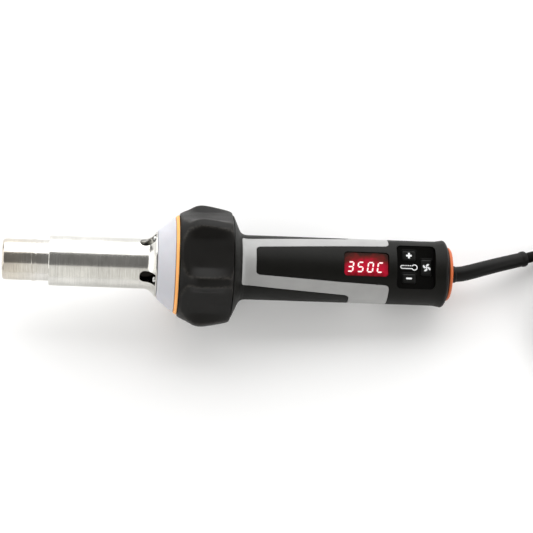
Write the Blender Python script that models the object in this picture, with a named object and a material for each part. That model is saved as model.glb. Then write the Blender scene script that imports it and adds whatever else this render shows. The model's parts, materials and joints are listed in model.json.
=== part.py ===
"""Hot-air hand tool lying on its head ring and the foot of its handle, with its mains lead coiled beside it.

Sizes are in millimetres and the helpers turn them into metres. The tool is modelled along its own axis,
with `s` measured from the nozzle's mouth towards the handle's end, and its panel facing the tool's own +Z.
The empty `tool` then leans it to the slope at which the real one lies.
"""
import math

import bmesh
import bpy
from mathutils import Matrix, Vector

MM = 0.001
GAP = 0.3

# The hot end
TUBE_RADIUS = 15.75
TUBE_WALL = 0.8
TUBE_LENGTH = 123.0
LIP_FLAT = 14.0
BEAD_AT = 24.0
SLEEVE_START = 35.3
SLEEVE_RADIUS = 19.25
FLANGE_AT = 117.0
FLANGE_RADIUS = 25.0
FLANGE_SCREW_RADIUS = 22.2
SLOT_ANGLES = (45, 135, 225, 315)
SLOT_WIDTH = 9.6
SLOT_START = 104.0

# The head: nose ring, seal and rubber ring over the blower
NOSE_START = 117.3
NOSE_END = 130.4
SEAL_END = 133.1
SHELL_START = 133.5
CUP_RADIUS = 37.2
WALL = 2.4
RING_START = 133.9
RING_END = 173.9
LOBE_AT = 150.1
LOBE_RADIUS = 47.5
LOBE_PROFILE = ((133.9, 39.4), (136.0, 40.9), (138.1, 42.1), (140.3, 43.5), (142.7, 44.9), (145.0, 46.1),
                (147.3, 47.0), (LOBE_AT, LOBE_RADIUS), (153.5, 47.4), (160.5, 46.3), (168.2, 44.7),
                (171.8, 43.8), (173.2, 42.9), (173.9, 41.4))
POCKETS = 6
POCKET_FLOOR = 39.2
POCKET_HALF_FLOOR = 11.6
POCKET_HALF_ANGLE = 25.5
POCKET_FRONT = (135.5, 139.5)

# The handle
HANDLE_RADIUS = 24.8
FLARE_AT = 337.0
FLARE_RADIUS = 26.0
SHELL_END = 341.0
TOOL_LENGTH = 344.0
REAR_RING_RADIUS = 20.6
REAR_FLAT = 18.6
SPLIT_ANGLE = 89.65
INLAY_DEPTH = 1.2
SCREW_STATIONS = (238.0, 331.0)
SCREW_SIDE = 16.5

# The panel
WINDOW = (276.15, 34.5, 19.0, 2.0)
WINDOW_TOP = 22.0
KEYPAD = (314.95, 29.3, 34.0, 3.5)
KEYPAD_TOP = 17.3
BUTTON_TOP = 18.2
BUTTONS = {"plus_button": (310.0, 9.2, 10.3, 7.4), "minus_button": (310.0, -8.8, 10.3, 7.4),
           "fan_button": (323.7, 0.0, 8.2, 12.6)}
BOARD_TOP = 10.0

# The mains switch in the underside
ROCKER_AT = 312.5
ROCKER_SIZE = (22.0, 15.6)
ROCKER_PIVOT = -18.0

# The mains lead
CORD_RADIUS = 4.25
COIL_CENTRE = (306.0, -22.0)
COIL_RADIUS = 47.0
COIL_TURNS_ACROSS = 3
BOOT_ROUTE = ((176.2, 0.1, 24.8), (182.0, 0.9, 24.2), (190.0, 3.2, 23.1), (200.0, 6.4, 21.3),
              (210.0, 9.7, 18.7), (221.0, 13.2, 15.3), (232.0, 16.8, 11.6))
CORD_ROUTE = ((232.3, 16.9, 11.5), (240.0, 19.5, 9.2), (248.0, 22.2, 7.2), (256.0, 24.8, 5.6), (262.0, 26.6, 4.8))
TAIL_START = 90.0
TAIL_SWEEP = 100.0
PLUG_LENGTH = 38.0
PLUG_SIZE = (35.3, 26.0)
PIN_LENGTH = 19.0
PIN_SPACING = 19.0

# How it lies: on the two lower lobes of the ring and on the flare of the handle
LOBE_DROP = LOBE_RADIUS * math.cos(math.radians(POCKET_HALF_ANGLE))
TILT = math.atan((LOBE_DROP - FLARE_RADIUS) / (FLARE_AT - LOBE_AT))
AXIS_HEIGHT = LOBE_AT * math.sin(TILT) + LOBE_DROP * math.cos(TILT)
REACH_FRONT = -LIP_FLAT * math.sin(TILT)
REACH_REAR = TOOL_LENGTH * math.cos(TILT) + REAR_FLAT * math.sin(TILT)
AXIS_START = -(REACH_FRONT + REACH_REAR) / 2

for leftover in list(bpy.data.objects):
    bpy.data.objects.remove(leftover, do_unlink=True)

tool = bpy.data.objects.new("tool", None)
tool.location = (AXIS_START * MM, 0, AXIS_HEIGHT * MM)
tool.rotation_euler = (0, TILT, 0)
bpy.context.scene.collection.objects.link(tool)


# Materials

def material(name, colour, roughness, metallic=0.0):
    """A Principled material, made once for each name."""
    if name in bpy.data.materials:
        return bpy.data.materials[name]
    made = bpy.data.materials.new(name)
    made.use_nodes = True
    shader = made.node_tree.nodes["Principled BSDF"]
    shader.inputs["Base Color"].default_value = (*colour, 1)
    shader.inputs["Roughness"].default_value = roughness
    shader.inputs["Metallic"].default_value = metallic
    return made


GRIP = material("charcoal_grip", (0.025, 0.025, 0.023), 0.5)
RUBBER = material("black_rubber", (0.02, 0.02, 0.02), 0.7)
GREY = material("light_grey_plastic", (0.48, 0.48, 0.47), 0.45)
NOSE = material("pale_nose_plastic", (0.66, 0.66, 0.7), 0.4)
SEAL = material("orange_silicone", (0.9, 0.42, 0.12), 0.45)
ORANGE = material("orange_plastic", (0.62, 0.12, 0.03), 0.4)
STEEL = material("stainless_steel", (0.62, 0.61, 0.59), 0.25, 1.0)
SCREW = material("zinc_screw", (0.5, 0.5, 0.5), 0.35, 1.0)
IRON = material("motor_iron", (0.2, 0.2, 0.21), 0.45, 1.0)
COPPER = material("copper", (0.72, 0.33, 0.18), 0.35, 1.0)
ALUMINIUM = material("aluminium", (0.7, 0.7, 0.72), 0.35, 1.0)
CERAMIC = material("white_ceramic", (0.8, 0.77, 0.7), 0.7)
MICA = material("mica", (0.5, 0.4, 0.25), 0.5)
LENS = material("red_lens", (0.6, 0.006, 0.03), 0.12)
GLOSS = material("black_gloss", (0.012, 0.012, 0.012), 0.2)
KEYS = material("black_keys", (0.03, 0.03, 0.03), 0.35)
BOARD = material("circuit_board", (0.02, 0.16, 0.07), 0.5)
WHITE = material("white_plastic", (0.75, 0.75, 0.72), 0.45)
INNER = material("black_nylon", (0.04, 0.04, 0.045), 0.55)
FELT = material("filter_felt", (0.3, 0.3, 0.3), 0.95)
NICKEL = material("nickel", (0.7, 0.68, 0.62), 0.25, 1.0)


# Shapes

def finish(name, bm, surface, at=(0, 0, 0), parent=tool, smooth=35):
    """Turn a bmesh in millimetres into a named object with its origin at `at`."""
    bmesh.ops.scale(bm, vec=(MM, MM, MM), verts=bm.verts)
    bmesh.ops.remove_doubles(bm, verts=bm.verts, dist=0.00001)
    bmesh.ops.recalc_face_normals(bm, faces=bm.faces)
    mesh = bpy.data.meshes.new(name)
    bm.to_mesh(mesh)
    bm.free()
    mesh.shade_smooth()
    mesh.set_sharp_from_angle(angle=math.radians(smooth))
    if surface:
        mesh.materials.append(surface)
    made = bpy.data.objects.new(name, mesh)
    made.location = [x * MM for x in at]
    made.parent = parent
    bpy.context.scene.collection.objects.link(made)
    return made


def hide(cutter):
    """Mark a guide shape, so that it is not a piece of the tool."""
    cutter.hide_render = True
    cutter.display_type = "WIRE"
    return cutter


def combine(target, operation, other):
    """Keep a Boolean on a piece."""
    change = target.modifiers.new(other.name, "BOOLEAN")
    change.operation = operation
    change.solver = "EXACT"
    change.object = hide(other)


def spin_profile(bm, profile, segments, start=0.0, sweep=360.0):
    """Turn a closed (s, radius) outline about the tool's axis; angles run from the panel side towards +Y."""
    first = math.radians(start)
    verts = [bm.verts.new((s, r * math.sin(first), r * math.cos(first))) for s, r in profile]
    edges = [bm.edges.new((verts[i - 1], verts[i])) for i in range(len(verts))]
    full = sweep >= 360
    end_face = None if full else bm.faces.new(verts)
    done = bmesh.ops.spin(bm, geom=verts + edges, cent=(0, 0, 0), axis=(-1, 0, 0),
                          angle=math.radians(sweep), steps=segments, use_merge=full)
    if end_face:
        last = [g for g in done["geom_last"] if isinstance(g, bmesh.types.BMEdge)]
        bmesh.ops.contextual_create(bm, geom=last)


def turned(name, profile, segments, surface, at=0.0, start=0.0, sweep=360.0):
    """A turned piece whose origin is on the axis at station `at`."""
    bm = bmesh.new()
    spin_profile(bm, [(s - at, r) for s, r in profile], segments, start, sweep)
    return finish(name, bm, surface, (at, 0, 0))


def add_loft(bm, rings):
    """Close a body through rings of points, each with the same number of them."""
    loops = [[bm.verts.new(p) for p in ring] for ring in rings]
    for low, high in zip(loops, loops[1:]):
        for i in range(len(low)):
            bm.faces.new((low[i - 1], low[i], high[i], high[i - 1]))
    bm.faces.new(loops[0])
    bm.faces.new(loops[-1])


def rounded(corners, steps=4):
    """An outline whose corners (x, y, radius) are rounded with arcs."""
    outline = []
    for i, (x, y, radius) in enumerate(corners):
        here = Vector((x, y))
        back = (Vector(corners[i - 1][:2]) - here).normalized()
        ahead = (Vector(corners[(i + 1) % len(corners)][:2]) - here).normalized()
        if radius == 0:
            outline.append((x, y))
            continue
        half = back.angle(ahead) / 2
        middle = here + (back + ahead).normalized() * radius / math.sin(half)
        first = here + back * radius / math.tan(half) - middle
        last = here + ahead * radius / math.tan(half) - middle
        turn = first.angle_signed(last)
        for k in range(steps + 1):
            p = middle + Matrix.Rotation(-turn * k / steps, 2) @ first
            outline.append((p.x, p.y))
    return outline


def slab(length, width, radius, steps=4):
    """A rounded rectangle centred on the origin."""
    a, b = length / 2, width / 2
    return rounded([(-a, -b, radius), (a, -b, radius), (a, b, radius), (-a, b, radius)], steps)


def stacked(name, layers, surface, at=(0, 0, 0)):
    """A body through outlines at heights: [(outline, z), ...]."""
    bm = bmesh.new()
    add_loft(bm, [[(x, y, z) for x, y in outline] for outline, z in layers])
    return finish(name, bm, surface, at)


def block(name, size, at, surface, radius=0.0):
    """A box of that size standing on `at`, with its upright edges rounded."""
    outline = slab(size[0], size[1], radius, 3)
    return stacked(name, [(outline, 0), (outline, size[2])], surface, at)


def add_disc_stack(bm, centre, steps, sides=10):
    """A round bar along +Z through (radius, z) steps, on a centre (x, y)."""
    angles = [2 * math.pi * i / sides for i in range(sides)]
    rings = [[(centre[0] + r * math.cos(a), centre[1] + r * math.sin(a), z) for a in angles] for r, z in steps]
    add_loft(bm, rings)


def handle_radius(s):
    """The handle's outer radius, with the fillet where it leaves the head."""
    fillet = 186.0
    if s >= fillet:
        return HANDLE_RADIUS
    lift = (fillet - s) / (fillet - 181.2)
    return HANDLE_RADIUS + 1.5 * lift ** 2.4


def add_wrapped(bm, outline, depth, proud=0.0, step=7.5):
    """Wrap an outline (s, angle as arc length) round the handle, from the surface down to that depth."""
    flat = bmesh.new()
    flat.faces.new([flat.verts.new((s, arc, 0)) for s, arc in outline])
    cuts = [((0, math.radians(k * step) * HANDLE_RADIUS, 0), (0, 1, 0)) for k in range(-40, 41)]
    cuts += [((s, 0, 0), (1, 0, 0)) for s in (182.2, 183.6, 186.0)]
    for place, normal in cuts:
        bmesh.ops.bisect_plane(flat, geom=flat.verts[:] + flat.edges[:] + flat.faces[:], dist=0.0001,
                               plane_co=place, plane_no=normal)
    bmesh.ops.remove_doubles(flat, verts=flat.verts, dist=0.001)
    lower = flat.faces[:]
    raised = bmesh.ops.extrude_face_region(flat, geom=lower, use_keep_orig=True)["geom"]
    bmesh.ops.translate(flat, vec=(0, 0, 1), verts=[g for g in raised if isinstance(g, bmesh.types.BMVert)])
    for v in flat.verts:
        angle = v.co.y / HANDLE_RADIUS
        radius = handle_radius(v.co.x) + (proud if v.co.z > 0.5 else -depth)
        v.co = (v.co.x, radius * math.sin(angle), radius * math.cos(angle))
    mesh = bpy.data.meshes.new("wrapped")
    flat.to_mesh(mesh)
    flat.free()
    bm.from_mesh(mesh)
    bpy.data.meshes.remove(mesh)


def arc_point(s, degrees, radius=0.0, out=0.0):
    """A corner of a wrapped outline, `out` further from the panel's middle."""
    side = math.copysign(1, degrees)
    return (s, math.radians(degrees) * HANDLE_RADIUS + side * out, radius)


def catmull(points, spacing):
    """Evenly read points on the smooth curve through the route's own points."""
    route = [Vector(p) for p in points]
    route = [2 * route[0] - route[1], *route, 2 * route[-1] - route[-2]]
    found = []
    for a, b, c, d in zip(route, route[1:], route[2:], route[3:]):
        parts = max(1, round((c - b).length / spacing))
        for k in range(parts):
            t = k / parts
            found.append(0.5 * (2 * b + (c - a) * t + (2 * a - 5 * b + 4 * c - d) * t ** 2
                                + (3 * b - a - 3 * c + d) * t ** 3))
    return found + [route[-2]]


def cord_tube(name, points, surface):
    """A round cord along points in the world."""
    curve = bpy.data.curves.new(name, "CURVE")
    curve.dimensions = "3D"
    curve.bevel_depth = CORD_RADIUS * MM
    curve.bevel_resolution = 2
    curve.use_fill_caps = True
    spline = curve.splines.new("POLY")
    spline.points.add(len(points) - 1)
    for point, place in zip(spline.points, points):
        point.co = (*[x * MM for x in place], 1)
    curve.materials.append(surface)
    made = bpy.data.objects.new(name, curve)
    bpy.context.scene.collection.objects.link(made)
    return made


def on_axis(s):
    """The tool's axis at a station, in the world."""
    return (AXIS_START + s * math.cos(TILT), 0.0, AXIS_HEIGHT - s * math.sin(TILT))


# The hot end

def heater_tube():
    """The inner tube: a rolled lip, a bead that stops a pushed-on nozzle, and a plain bore."""
    r, bore = TUBE_RADIUS, TUBE_RADIUS - TUBE_WALL
    lip = [(0.0, LIP_FLAT), (0.5, 15.0), (1.4, 15.6), (2.6, r)]
    bead = [(BEAD_AT - 1.6, r), (BEAD_AT - 0.7, r + 0.45), (BEAD_AT + 0.7, r + 0.45), (BEAD_AT + 1.6, r)]
    inside = [(TUBE_LENGTH, bore), (2.6, bore), (1.2, bore - 0.6), (0.0, LIP_FLAT - 1.1)]
    turned("heater_tube", lip + bead + [(TUBE_LENGTH, r)] + inside, 28, STEEL)


def cooling_sleeve():
    """The outer sleeve, flared into a flange, with a U-shaped slot in front of each flange screw."""
    r, wall = SLEEVE_RADIUS, TUBE_WALL
    outside = [(SLEEVE_START, r - 0.4), (SLEEVE_START + 0.5, r), (108.0, r), (111.0, 19.9), (113.5, 21.2),
               (115.2, 23.2), (116.0, FLANGE_RADIUS), (FLANGE_AT, FLANGE_RADIUS)]
    inside = [(FLANGE_AT, 16.6), (116.2, 16.6), (116.2, 22.4), (115.0, 21.6), (113.5, 20.3), (111.0, 19.1),
              (108.0, r - wall), (SLEEVE_START, r - wall)]
    sleeve = turned("cooling_sleeve", outside + inside, 28, STEEL)
    slots, holes = bmesh.new(), bmesh.new()
    half = SLOT_WIDTH / 2
    outline = rounded([(SLOT_START, -half, half - 0.2), (115.9, -half, 0), (115.9, half, 0),
                       (SLOT_START, half, half - 0.2)], 5)
    for angle in SLOT_ANGLES:
        turn = Matrix.Rotation(-math.radians(angle), 3, "X")
        add_loft(slots, [[turn @ Vector((x, y, z)) for x, y in outline] for z in (14.0, 28.0)])
        add_screw_hole(holes, turn, (115.0, 118.0))
    combine(sleeve, "DIFFERENCE", finish("slot_cutter", slots, None))
    combine(sleeve, "DIFFERENCE", finish("hole_cutter", holes, None))


def add_screw_hole(bm, turn, stations):
    """A hole along the tool's axis where a flange screw passes."""
    angles = [2 * math.pi * i / 10 for i in range(10)]
    add_loft(bm, [[turn @ Vector((s, 1.6 * math.cos(a), FLANGE_SCREW_RADIUS + 1.6 * math.sin(a)))
                   for a in angles] for s in stations])


def flange_screws():
    """Pan-head screws that hold the flange to the nose ring."""
    for number, angle in enumerate(SLOT_ANGLES, 1):
        bm = bmesh.new()
        angles = [2 * math.pi * i / 12 for i in range(12)]
        steps = ((0.9, 1.1), (0.0, 1.2), (0.0, 1.7), (0.5, 2.1), (2.2, 2.1), (2.2, 1.2), (5.2, 1.2))
        add_loft(bm, [[(s, r * math.cos(a), r * math.sin(a)) for a in angles] for s, r in steps])
        around = math.radians(angle)
        finish(f"flange_screw_{number}", bm, SCREW,
               (113.6, FLANGE_SCREW_RADIUS * math.sin(around), FLANGE_SCREW_RADIUS * math.cos(around)))


def heater():
    """The mica lining, the ceramic core with its air channels, and the heating coil wound round its nose."""
    turned("mica_sleeve", [(31.0, 14.6), (110.0, 14.6), (110.0, 14.0), (31.0, 14.0)], 24, MICA)
    core = turned("ceramic_core", [(48.0, 3.0), (48.0, 13.2), (49.0, 13.6), (108.0, 13.6), (108.0, 3.0)],
                  24, CERAMIC)
    bm = bmesh.new()
    for k in range(6):
        turn = Matrix.Rotation(math.radians(60 * k), 3, "X")
        angles = [2 * math.pi * i / 8 for i in range(8)]
        add_loft(bm, [[turn @ Vector((s, 2.6 * math.cos(a), 8.3 + 2.6 * math.sin(a))) for a in angles]
                      for s in (47.0, 109.0)])
    combine(core, "DIFFERENCE", finish("channel_cutter", bm, None))
    turns, pitch, radius = 3, 4.0, 9.0
    steps = turns * 10
    line = [(33.0 + pitch * k / 10, radius * math.sin(math.tau * k / 10), radius * math.cos(math.tau * k / 10))
            for k in range(steps + 1)]
    coil = cord_tube("heating_coil", line, COPPER)
    coil.data.bevel_depth = 0.8 * MM
    coil.parent = tool


# The head

def nose_ring():
    """The pale cone behind the flange, with a spigot that enters the head."""
    profile = [(NOSE_START, 16.1), (NOSE_START, 25.4), (NOSE_START + 0.4, 26.2), (NOSE_START + 1.3, 27.2),
               (NOSE_END - 0.6, 36.3), (NOSE_END, 36.5), (NOSE_END, 34.4), (141.0, 34.4), (141.0, 32.6),
               (130.5, 32.6), (121.5, 25.4), (120.8, 16.1)]
    ring = turned("nose_ring", profile, 36, NOSE)
    bm = bmesh.new()
    for angle in SLOT_ANGLES:
        add_screw_hole(bm, Matrix.Rotation(-math.radians(angle), 3, "X"), (116.0, 119.6))
    combine(ring, "DIFFERENCE", finish("nose_cutter", bm, None))


def front_seal():
    """The orange ring between the nose ring and the head."""
    profile = [(NOSE_END + GAP, 34.8), (NOSE_END + GAP, 36.6), (131.6, 37.6), (132.6, 38.2), (SEAL_END, 38.1),
               (SEAL_END, 34.8)]
    turned("front_seal", profile, 36, SEAL)


def air_funnel():
    """The funnel from the blower to the tube."""
    outer = [(124.0, 16.6), (126.0, 17.6), (141.8, 32.0)]
    turned("air_funnel", outer + [(141.8, 30.4), (126.8, 16.2), (124.0, 15.1)], 24, INNER)


def ring_radius(s, degrees, lobe):
    """The rubber ring's radius: lobes with flat-floored pockets between them."""
    away = math.radians((degrees + 180 / POCKETS) % (360 / POCKETS) - 180 / POCKETS)
    edge = math.radians(POCKET_HALF_ANGLE)
    floor = math.atan2(POCKET_HALF_FLOOR, POCKET_FLOOR)
    if abs(away) >= edge - 0.0001:
        return lobe
    if abs(away) <= floor + 0.0001:
        pocket = POCKET_FLOOR / math.cos(away)
    else:
        low = Vector((POCKET_FLOOR, POCKET_HALF_FLOOR))
        high = Vector((lobe * math.cos(edge), lobe * math.sin(edge)))
        ray = Vector((math.cos(away), math.sin(away)))
        along = high - low
        share = -(low.x * ray.y - low.y * ray.x) / (along.x * ray.y - along.y * ray.x)
        pocket = (low + share * along).length
    begin, end = POCKET_FRONT
    t = min(1.0, max(0.0, (s - begin) / (end - begin)))
    depth = t * t * (3 - 2 * t)
    return lobe + depth * (min(lobe, pocket) - lobe)


def bumper_ring():
    """The rubber ring that the tool rests on, with six pockets round it."""
    floor = math.degrees(math.atan2(POCKET_HALF_FLOOR, POCKET_FLOOR))
    within = (-30, -POCKET_HALF_ANGLE, -21, -floor, -floor / 2, 0, floor / 2, floor, 21, POCKET_HALF_ANGLE)
    angles = [60 * k + a for k in range(POCKETS) for a in within]
    bm = bmesh.new()
    loops = []
    bore = CUP_RADIUS + GAP
    inside = ((RING_END, bore), (RING_START, bore))
    for s, lobe in LOBE_PROFILE:
        loops.append([(s, ring_radius(s, a, lobe), math.radians(a)) for a in angles])
    for s, radius in inside:
        loops.append([(s, radius, math.radians(a)) for a in angles])
    rings = [[bm.verts.new((s, r * math.sin(a), r * math.cos(a))) for s, r, a in loop] for loop in loops]
    for low, high in zip(rings, rings[1:] + rings[:1]):
        for i in range(len(angles)):
            bm.faces.new((low[i - 1], low[i], high[i], high[i - 1]))
    finish("bumper_ring", bm, RUBBER)


# The housing

def shell_profile():
    """The wall of the housing from the head's rim to the end of the handle."""
    outside = [(SHELL_START, CUP_RADIUS), (174.2, CUP_RADIUS), (174.2, 39.9), (174.9, 39.0), (176.7, 35.2),
               (179.0, 30.0), (180.2, 27.6)]
    outside += [(s, handle_radius(s)) for s in (181.2, 182.2, 183.6, 186.0)]
    outside += [(322.0, HANDLE_RADIUS), (330.0, 25.15), (334.5, 25.75), (FLARE_AT, FLARE_RADIUS), (339.4, 25.2),
                (340.5, 23.9), (SHELL_END, 22.2)]
    bore = HANDLE_RADIUS - WALL
    inside = [(SHELL_END, 16.0), (338.0, 16.0), (335.5, bore - 1.0), (334.0, bore), (187.0, bore), (183.0, 22.8),
              (180.0, 24.6), (173.0, 34.8), (SHELL_START, CUP_RADIUS - WALL)]
    return outside + inside


def inlay_outline(out=0.0, rim=SPLIT_ANGLE):
    """The grey inlay's panel side: a bar at the front, two branches, and the start of the band behind them."""
    half = [arc_point(181.2 - out, 47, 3, out), arc_point(190.0, 48.2, 0, out),
            arc_point(264.5 - out, 63.7, 4.5, out), arc_point(264.5 - out, rim), arc_point(294.1 + out, rim),
            arc_point(294.1 + out, 38.5, 3.5, -out), arc_point(259.0, 35, 0, -out),
            arc_point(191.9 + out, 26, 2.7, -out)]
    other = [(s, -arc, r) for s, arc, r in reversed(half)]
    return rounded(half + other)


def band_outline(out=0.0, rim=SPLIT_ANGLE):
    """The grey band round the underside of the handle."""
    reach = math.radians(rim) * HANDLE_RADIUS
    return [(264.5 - out, -reach), (294.1 + out, -reach), (294.1 + out, reach), (264.5 - out, reach)]


def turn_over(piece):
    """Carry a wrapped piece from the panel side to the underside."""
    piece.data.transform(Matrix.Rotation(math.pi, 4, "X"))
    return piece


def inlays():
    """The two light grey inlays, flush with the grip."""
    bm = bmesh.new()
    add_wrapped(bm, inlay_outline(), INLAY_DEPTH)
    finish("upper_inlay", bm, GREY)
    bm = bmesh.new()
    add_wrapped(bm, band_outline(), INLAY_DEPTH)
    turn_over(finish("lower_inlay", bm, GREY))


def add_prism(bm, outline, at, low, high):
    """An upright prism with its outline centred on (s, y)."""
    add_loft(bm, [[(at[0] + x, at[1] + y, z) for x, y in outline] for z in (low, high)])


def screw_places():
    """Where the four housing screws stand."""
    return [(s, side * SCREW_SIDE) for s in SCREW_STATIONS for side in (1, -1)]


def upper_shell():
    """The half with the panel: screw posts and a tub under the keypad inside, openings for panel and inlay."""
    shell = turned("upper_shell", shell_profile(), 20, GRIP, 0.0, -SPLIT_ANGLE, 2 * SPLIT_ANGLE)
    bm = bmesh.new()
    for place in screw_places():
        add_disc_stack(bm, place, ((3.0, 0.2), (3.0, 15.3)))
    combine(shell, "UNION", finish("upper_posts", bm, None))
    centre, length, width, corner = KEYPAD
    chord, reach = 14.6, HANDLE_RADIUS - WALL / 2
    limit = math.degrees(math.acos(chord / reach))
    arc = [math.radians(-limit + 2 * limit * k / 12) for k in range(13)]
    bm = bmesh.new()
    add_loft(bm, [[(s, reach * math.sin(a), reach * math.cos(a)) for a in arc]
                  for s in (centre - length / 2 - 1.6, centre + length / 2 + 1.6)])
    combine(shell, "UNION", finish("keypad_tub", bm, None))
    bm = bmesh.new()
    add_wrapped(bm, inlay_outline(GAP, SPLIT_ANGLE + 5), INLAY_DEPTH + GAP, 3.0)
    add_prism(bm, slab(length, width, corner), (centre, 0), 12.0, 30.0)
    add_prism(bm, slab(WINDOW[1], WINDOW[2], WINDOW[3]), (WINDOW[0], 0), 12.0, 30.0)
    for place in screw_places():
        add_disc_stack(bm, place, ((1.4, -2.0), (1.4, 11.0)), 8)
    combine(shell, "DIFFERENCE", finish("upper_cutter", bm, None))


def lower_shell():
    """The other half: screw posts with sunk heads, the switch's opening and the band's groove."""
    shell = turned("lower_shell", shell_profile(), 20, GRIP, 0.0, 180 - SPLIT_ANGLE, 2 * SPLIT_ANGLE)
    bm = bmesh.new()
    for place in screw_places():
        add_disc_stack(bm, place, ((3.2, -15.0), (3.2, -0.2)))
    combine(shell, "UNION", finish("lower_posts", bm, None))
    bm = bmesh.new()
    add_wrapped(bm, band_outline(GAP, SPLIT_ANGLE + 5), INLAY_DEPTH + GAP, 3.0)
    combine(shell, "DIFFERENCE", turn_over(finish("band_cutter", bm, None)))
    bm = bmesh.new()
    for place in screw_places():
        add_disc_stack(bm, place, ((2.2, -30.0), (2.2, -8.0), (1.4, -7.9), (1.4, 2.0)))
    add_prism(bm, slab(ROCKER_SIZE[0] + 2 * GAP, ROCKER_SIZE[1] + 2 * GAP, 1.0), (ROCKER_AT, 0), -30.0, -12.0)
    combine(shell, "DIFFERENCE", finish("lower_cutter", bm, None))


def housing_screws():
    """The screws that close the housing, put in from below."""
    for number, place in enumerate(screw_places(), 1):
        bm = bmesh.new()
        add_disc_stack(bm, (0, 0), ((1.0, 0.9), (1.1, 0.0), (1.9, 0.0), (1.9, 1.6), (1.1, 1.7), (1.1, 18.4)))
        finish(f"housing_screw_{number}", bm, SCREW, (*place, -10.0))


# The panel

def display():
    """The red window flush in its opening, and the digit unit under it."""
    centre, length, width, corner = WINDOW
    lens = slab(length - 2 * GAP, width - 2 * GAP, corner - GAP)
    stacked("display_window", [(lens, 0), (lens, 1.5)], LENS, (centre, 0, WINDOW_TOP - 1.5))
    block("display_module", (33.0, 17.6, 9.8), (centre, 0, BOARD_TOP + GAP), GLOSS, 0.8)


def keypad():
    """The sunk plate and the three keys that move in it, each over its switch."""
    centre, length, width, corner = KEYPAD
    rim = slab(length - 2 * GAP, width - 2 * GAP, corner - GAP)
    plate = stacked("keypad_plate", [(rim, 0), (rim, 2.0)], GLOSS, (centre, 0, KEYPAD_TOP - 2.0))
    bm = bmesh.new()
    for s, y, long, wide in BUTTONS.values():
        hole = slab(long + 2 * GAP, wide + 2 * GAP, 1.3)
        add_prism(bm, hole, (s - centre, y), -3.0, 5.0)
    combine(plate, "DIFFERENCE", finish("key_cutter", bm, None, (centre, 0, KEYPAD_TOP - 2.0)))
    for name, (s, y, long, wide) in BUTTONS.items():
        flange, cap = slab(long + 1.8, wide + 1.8, 1.6), slab(long, wide, 1.0)
        crown = slab(long - 0.8, wide - 0.8, 0.7)
        bottom = -(BUTTON_TOP - 13.9)
        layers = [(flange, bottom), (flange, bottom + 1.0), (cap, bottom + 1.0), (cap, -0.35), (crown, 0)]
        stacked(name, layers, KEYS, (s, y, BUTTON_TOP))
        body, plunger = slab(6, 6, 0.4), slab(2.6, 2.6, 1.2)
        stacked(name.replace("button", "switch"), [(body, 0), (body, 1.7), (plunger, 1.7), (plunger, 2.5)],
                INNER, (s, y, BOARD_TOP + GAP))
    block("control_board", (74.0, 28.0, 1.6), (289.0, 0, BOARD_TOP - 1.6), BOARD, 1.0)


# Inside the handle

def motor():
    """The blower motor: stator, brackets, bearings and brushes stand still; the rest is the rotor."""
    turned("motor_stator", [(176.0, 13.6), (176.0, 20.6), (177.0, 21.0), (205.0, 21.0), (206.0, 20.6),
                            (206.0, 13.6)], 24, IRON)
    turned("armature", [(174.5, 2.8), (174.5, 9.0), (177.0, 13.0), (205.0, 13.0), (207.5, 9.0), (207.5, 2.8)],
           24, COPPER, 191.0)
    turned("commutator", [(211.5, 2.8), (211.5, 8.4), (213.0, 8.4), (213.0, 7.8), (222.0, 7.8), (222.0, 2.8)],
           24, COPPER, 217.0)
    turned("motor_shaft", [(138.0, 0), (138.0, 2.1), (138.6, 2.5), (231.4, 2.5), (232.0, 2.1), (232.0, 0)],
           16, STEEL, 185.0)
    for name, s in (("front_bearing", 167.0), ("rear_bearing", 226.0)):
        turned(name, [(s, 2.9), (s, 6.7), (s + 0.3, 7.0), (s + 3.7, 7.0), (s + 4.0, 6.7), (s + 4.0, 2.9)], 16, NICKEL)
    bracket = turned("front_bracket", [(163.5, 4.0), (163.5, 34.3), (166.0, 34.3), (166.0, 10.2), (171.5, 10.2),
                                       (171.5, 7.3), (166.6, 7.3), (166.6, 4.0)], 24, INNER)
    bm = bmesh.new()
    for k in range(6):
        turn = Matrix.Rotation(math.radians(60 * k), 3, "X")
        angles = [2 * math.pi * i / 10 for i in range(10)]
        add_loft(bm, [[turn @ Vector((s, 7 * math.cos(a), 22 + 8 * math.sin(a))) for a in angles]
                      for s in (162.0, 168.0)])
    combine(bracket, "DIFFERENCE", finish("bracket_cutter", bm, None))
    turned("rear_bracket", [(224.0, 7.3), (224.0, 20.8), (231.5, 20.8), (231.5, 18.8), (226.6, 18.8),
                            (226.6, 10.0), (231.5, 10.0), (231.5, 7.3)], 24, INNER)
    for name, side in (("brush_holder_left", -1), ("brush_holder_right", 1)):
        block(name, (6.0, 11.0, 5.0), (217.3, side * 14.0, -2.5), NICKEL, 0.5)


def fan_impeller():
    """The blower wheel: a hub and back plate with twelve blades."""
    wheel = turned("fan_impeller", [(146.0, 2.8), (146.0, 8.0), (149.0, 10.0), (157.6, 12.0), (158.4, 30.0),
                                    (160.0, 30.0), (160.0, 2.8)], 24, INNER, 153.0)
    bm = bmesh.new()
    for k in range(12):
        turn = Matrix.Rotation(math.radians(30 * k), 3, "X")
        outline = ((-5.8, 8.6), (5.2, 8.6), (5.2 + 1.0, 29.4), (-5.8, 29.4))
        add_loft(bm, [[turn @ Vector((x, y + (r - 8.6) * 0.35, r)) for x, r in outline] for y in (-0.6, 0.6)])
    combine(wheel, "UNION", finish("blade_guide", bm, None, (153.0, 0, 0)))


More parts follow.
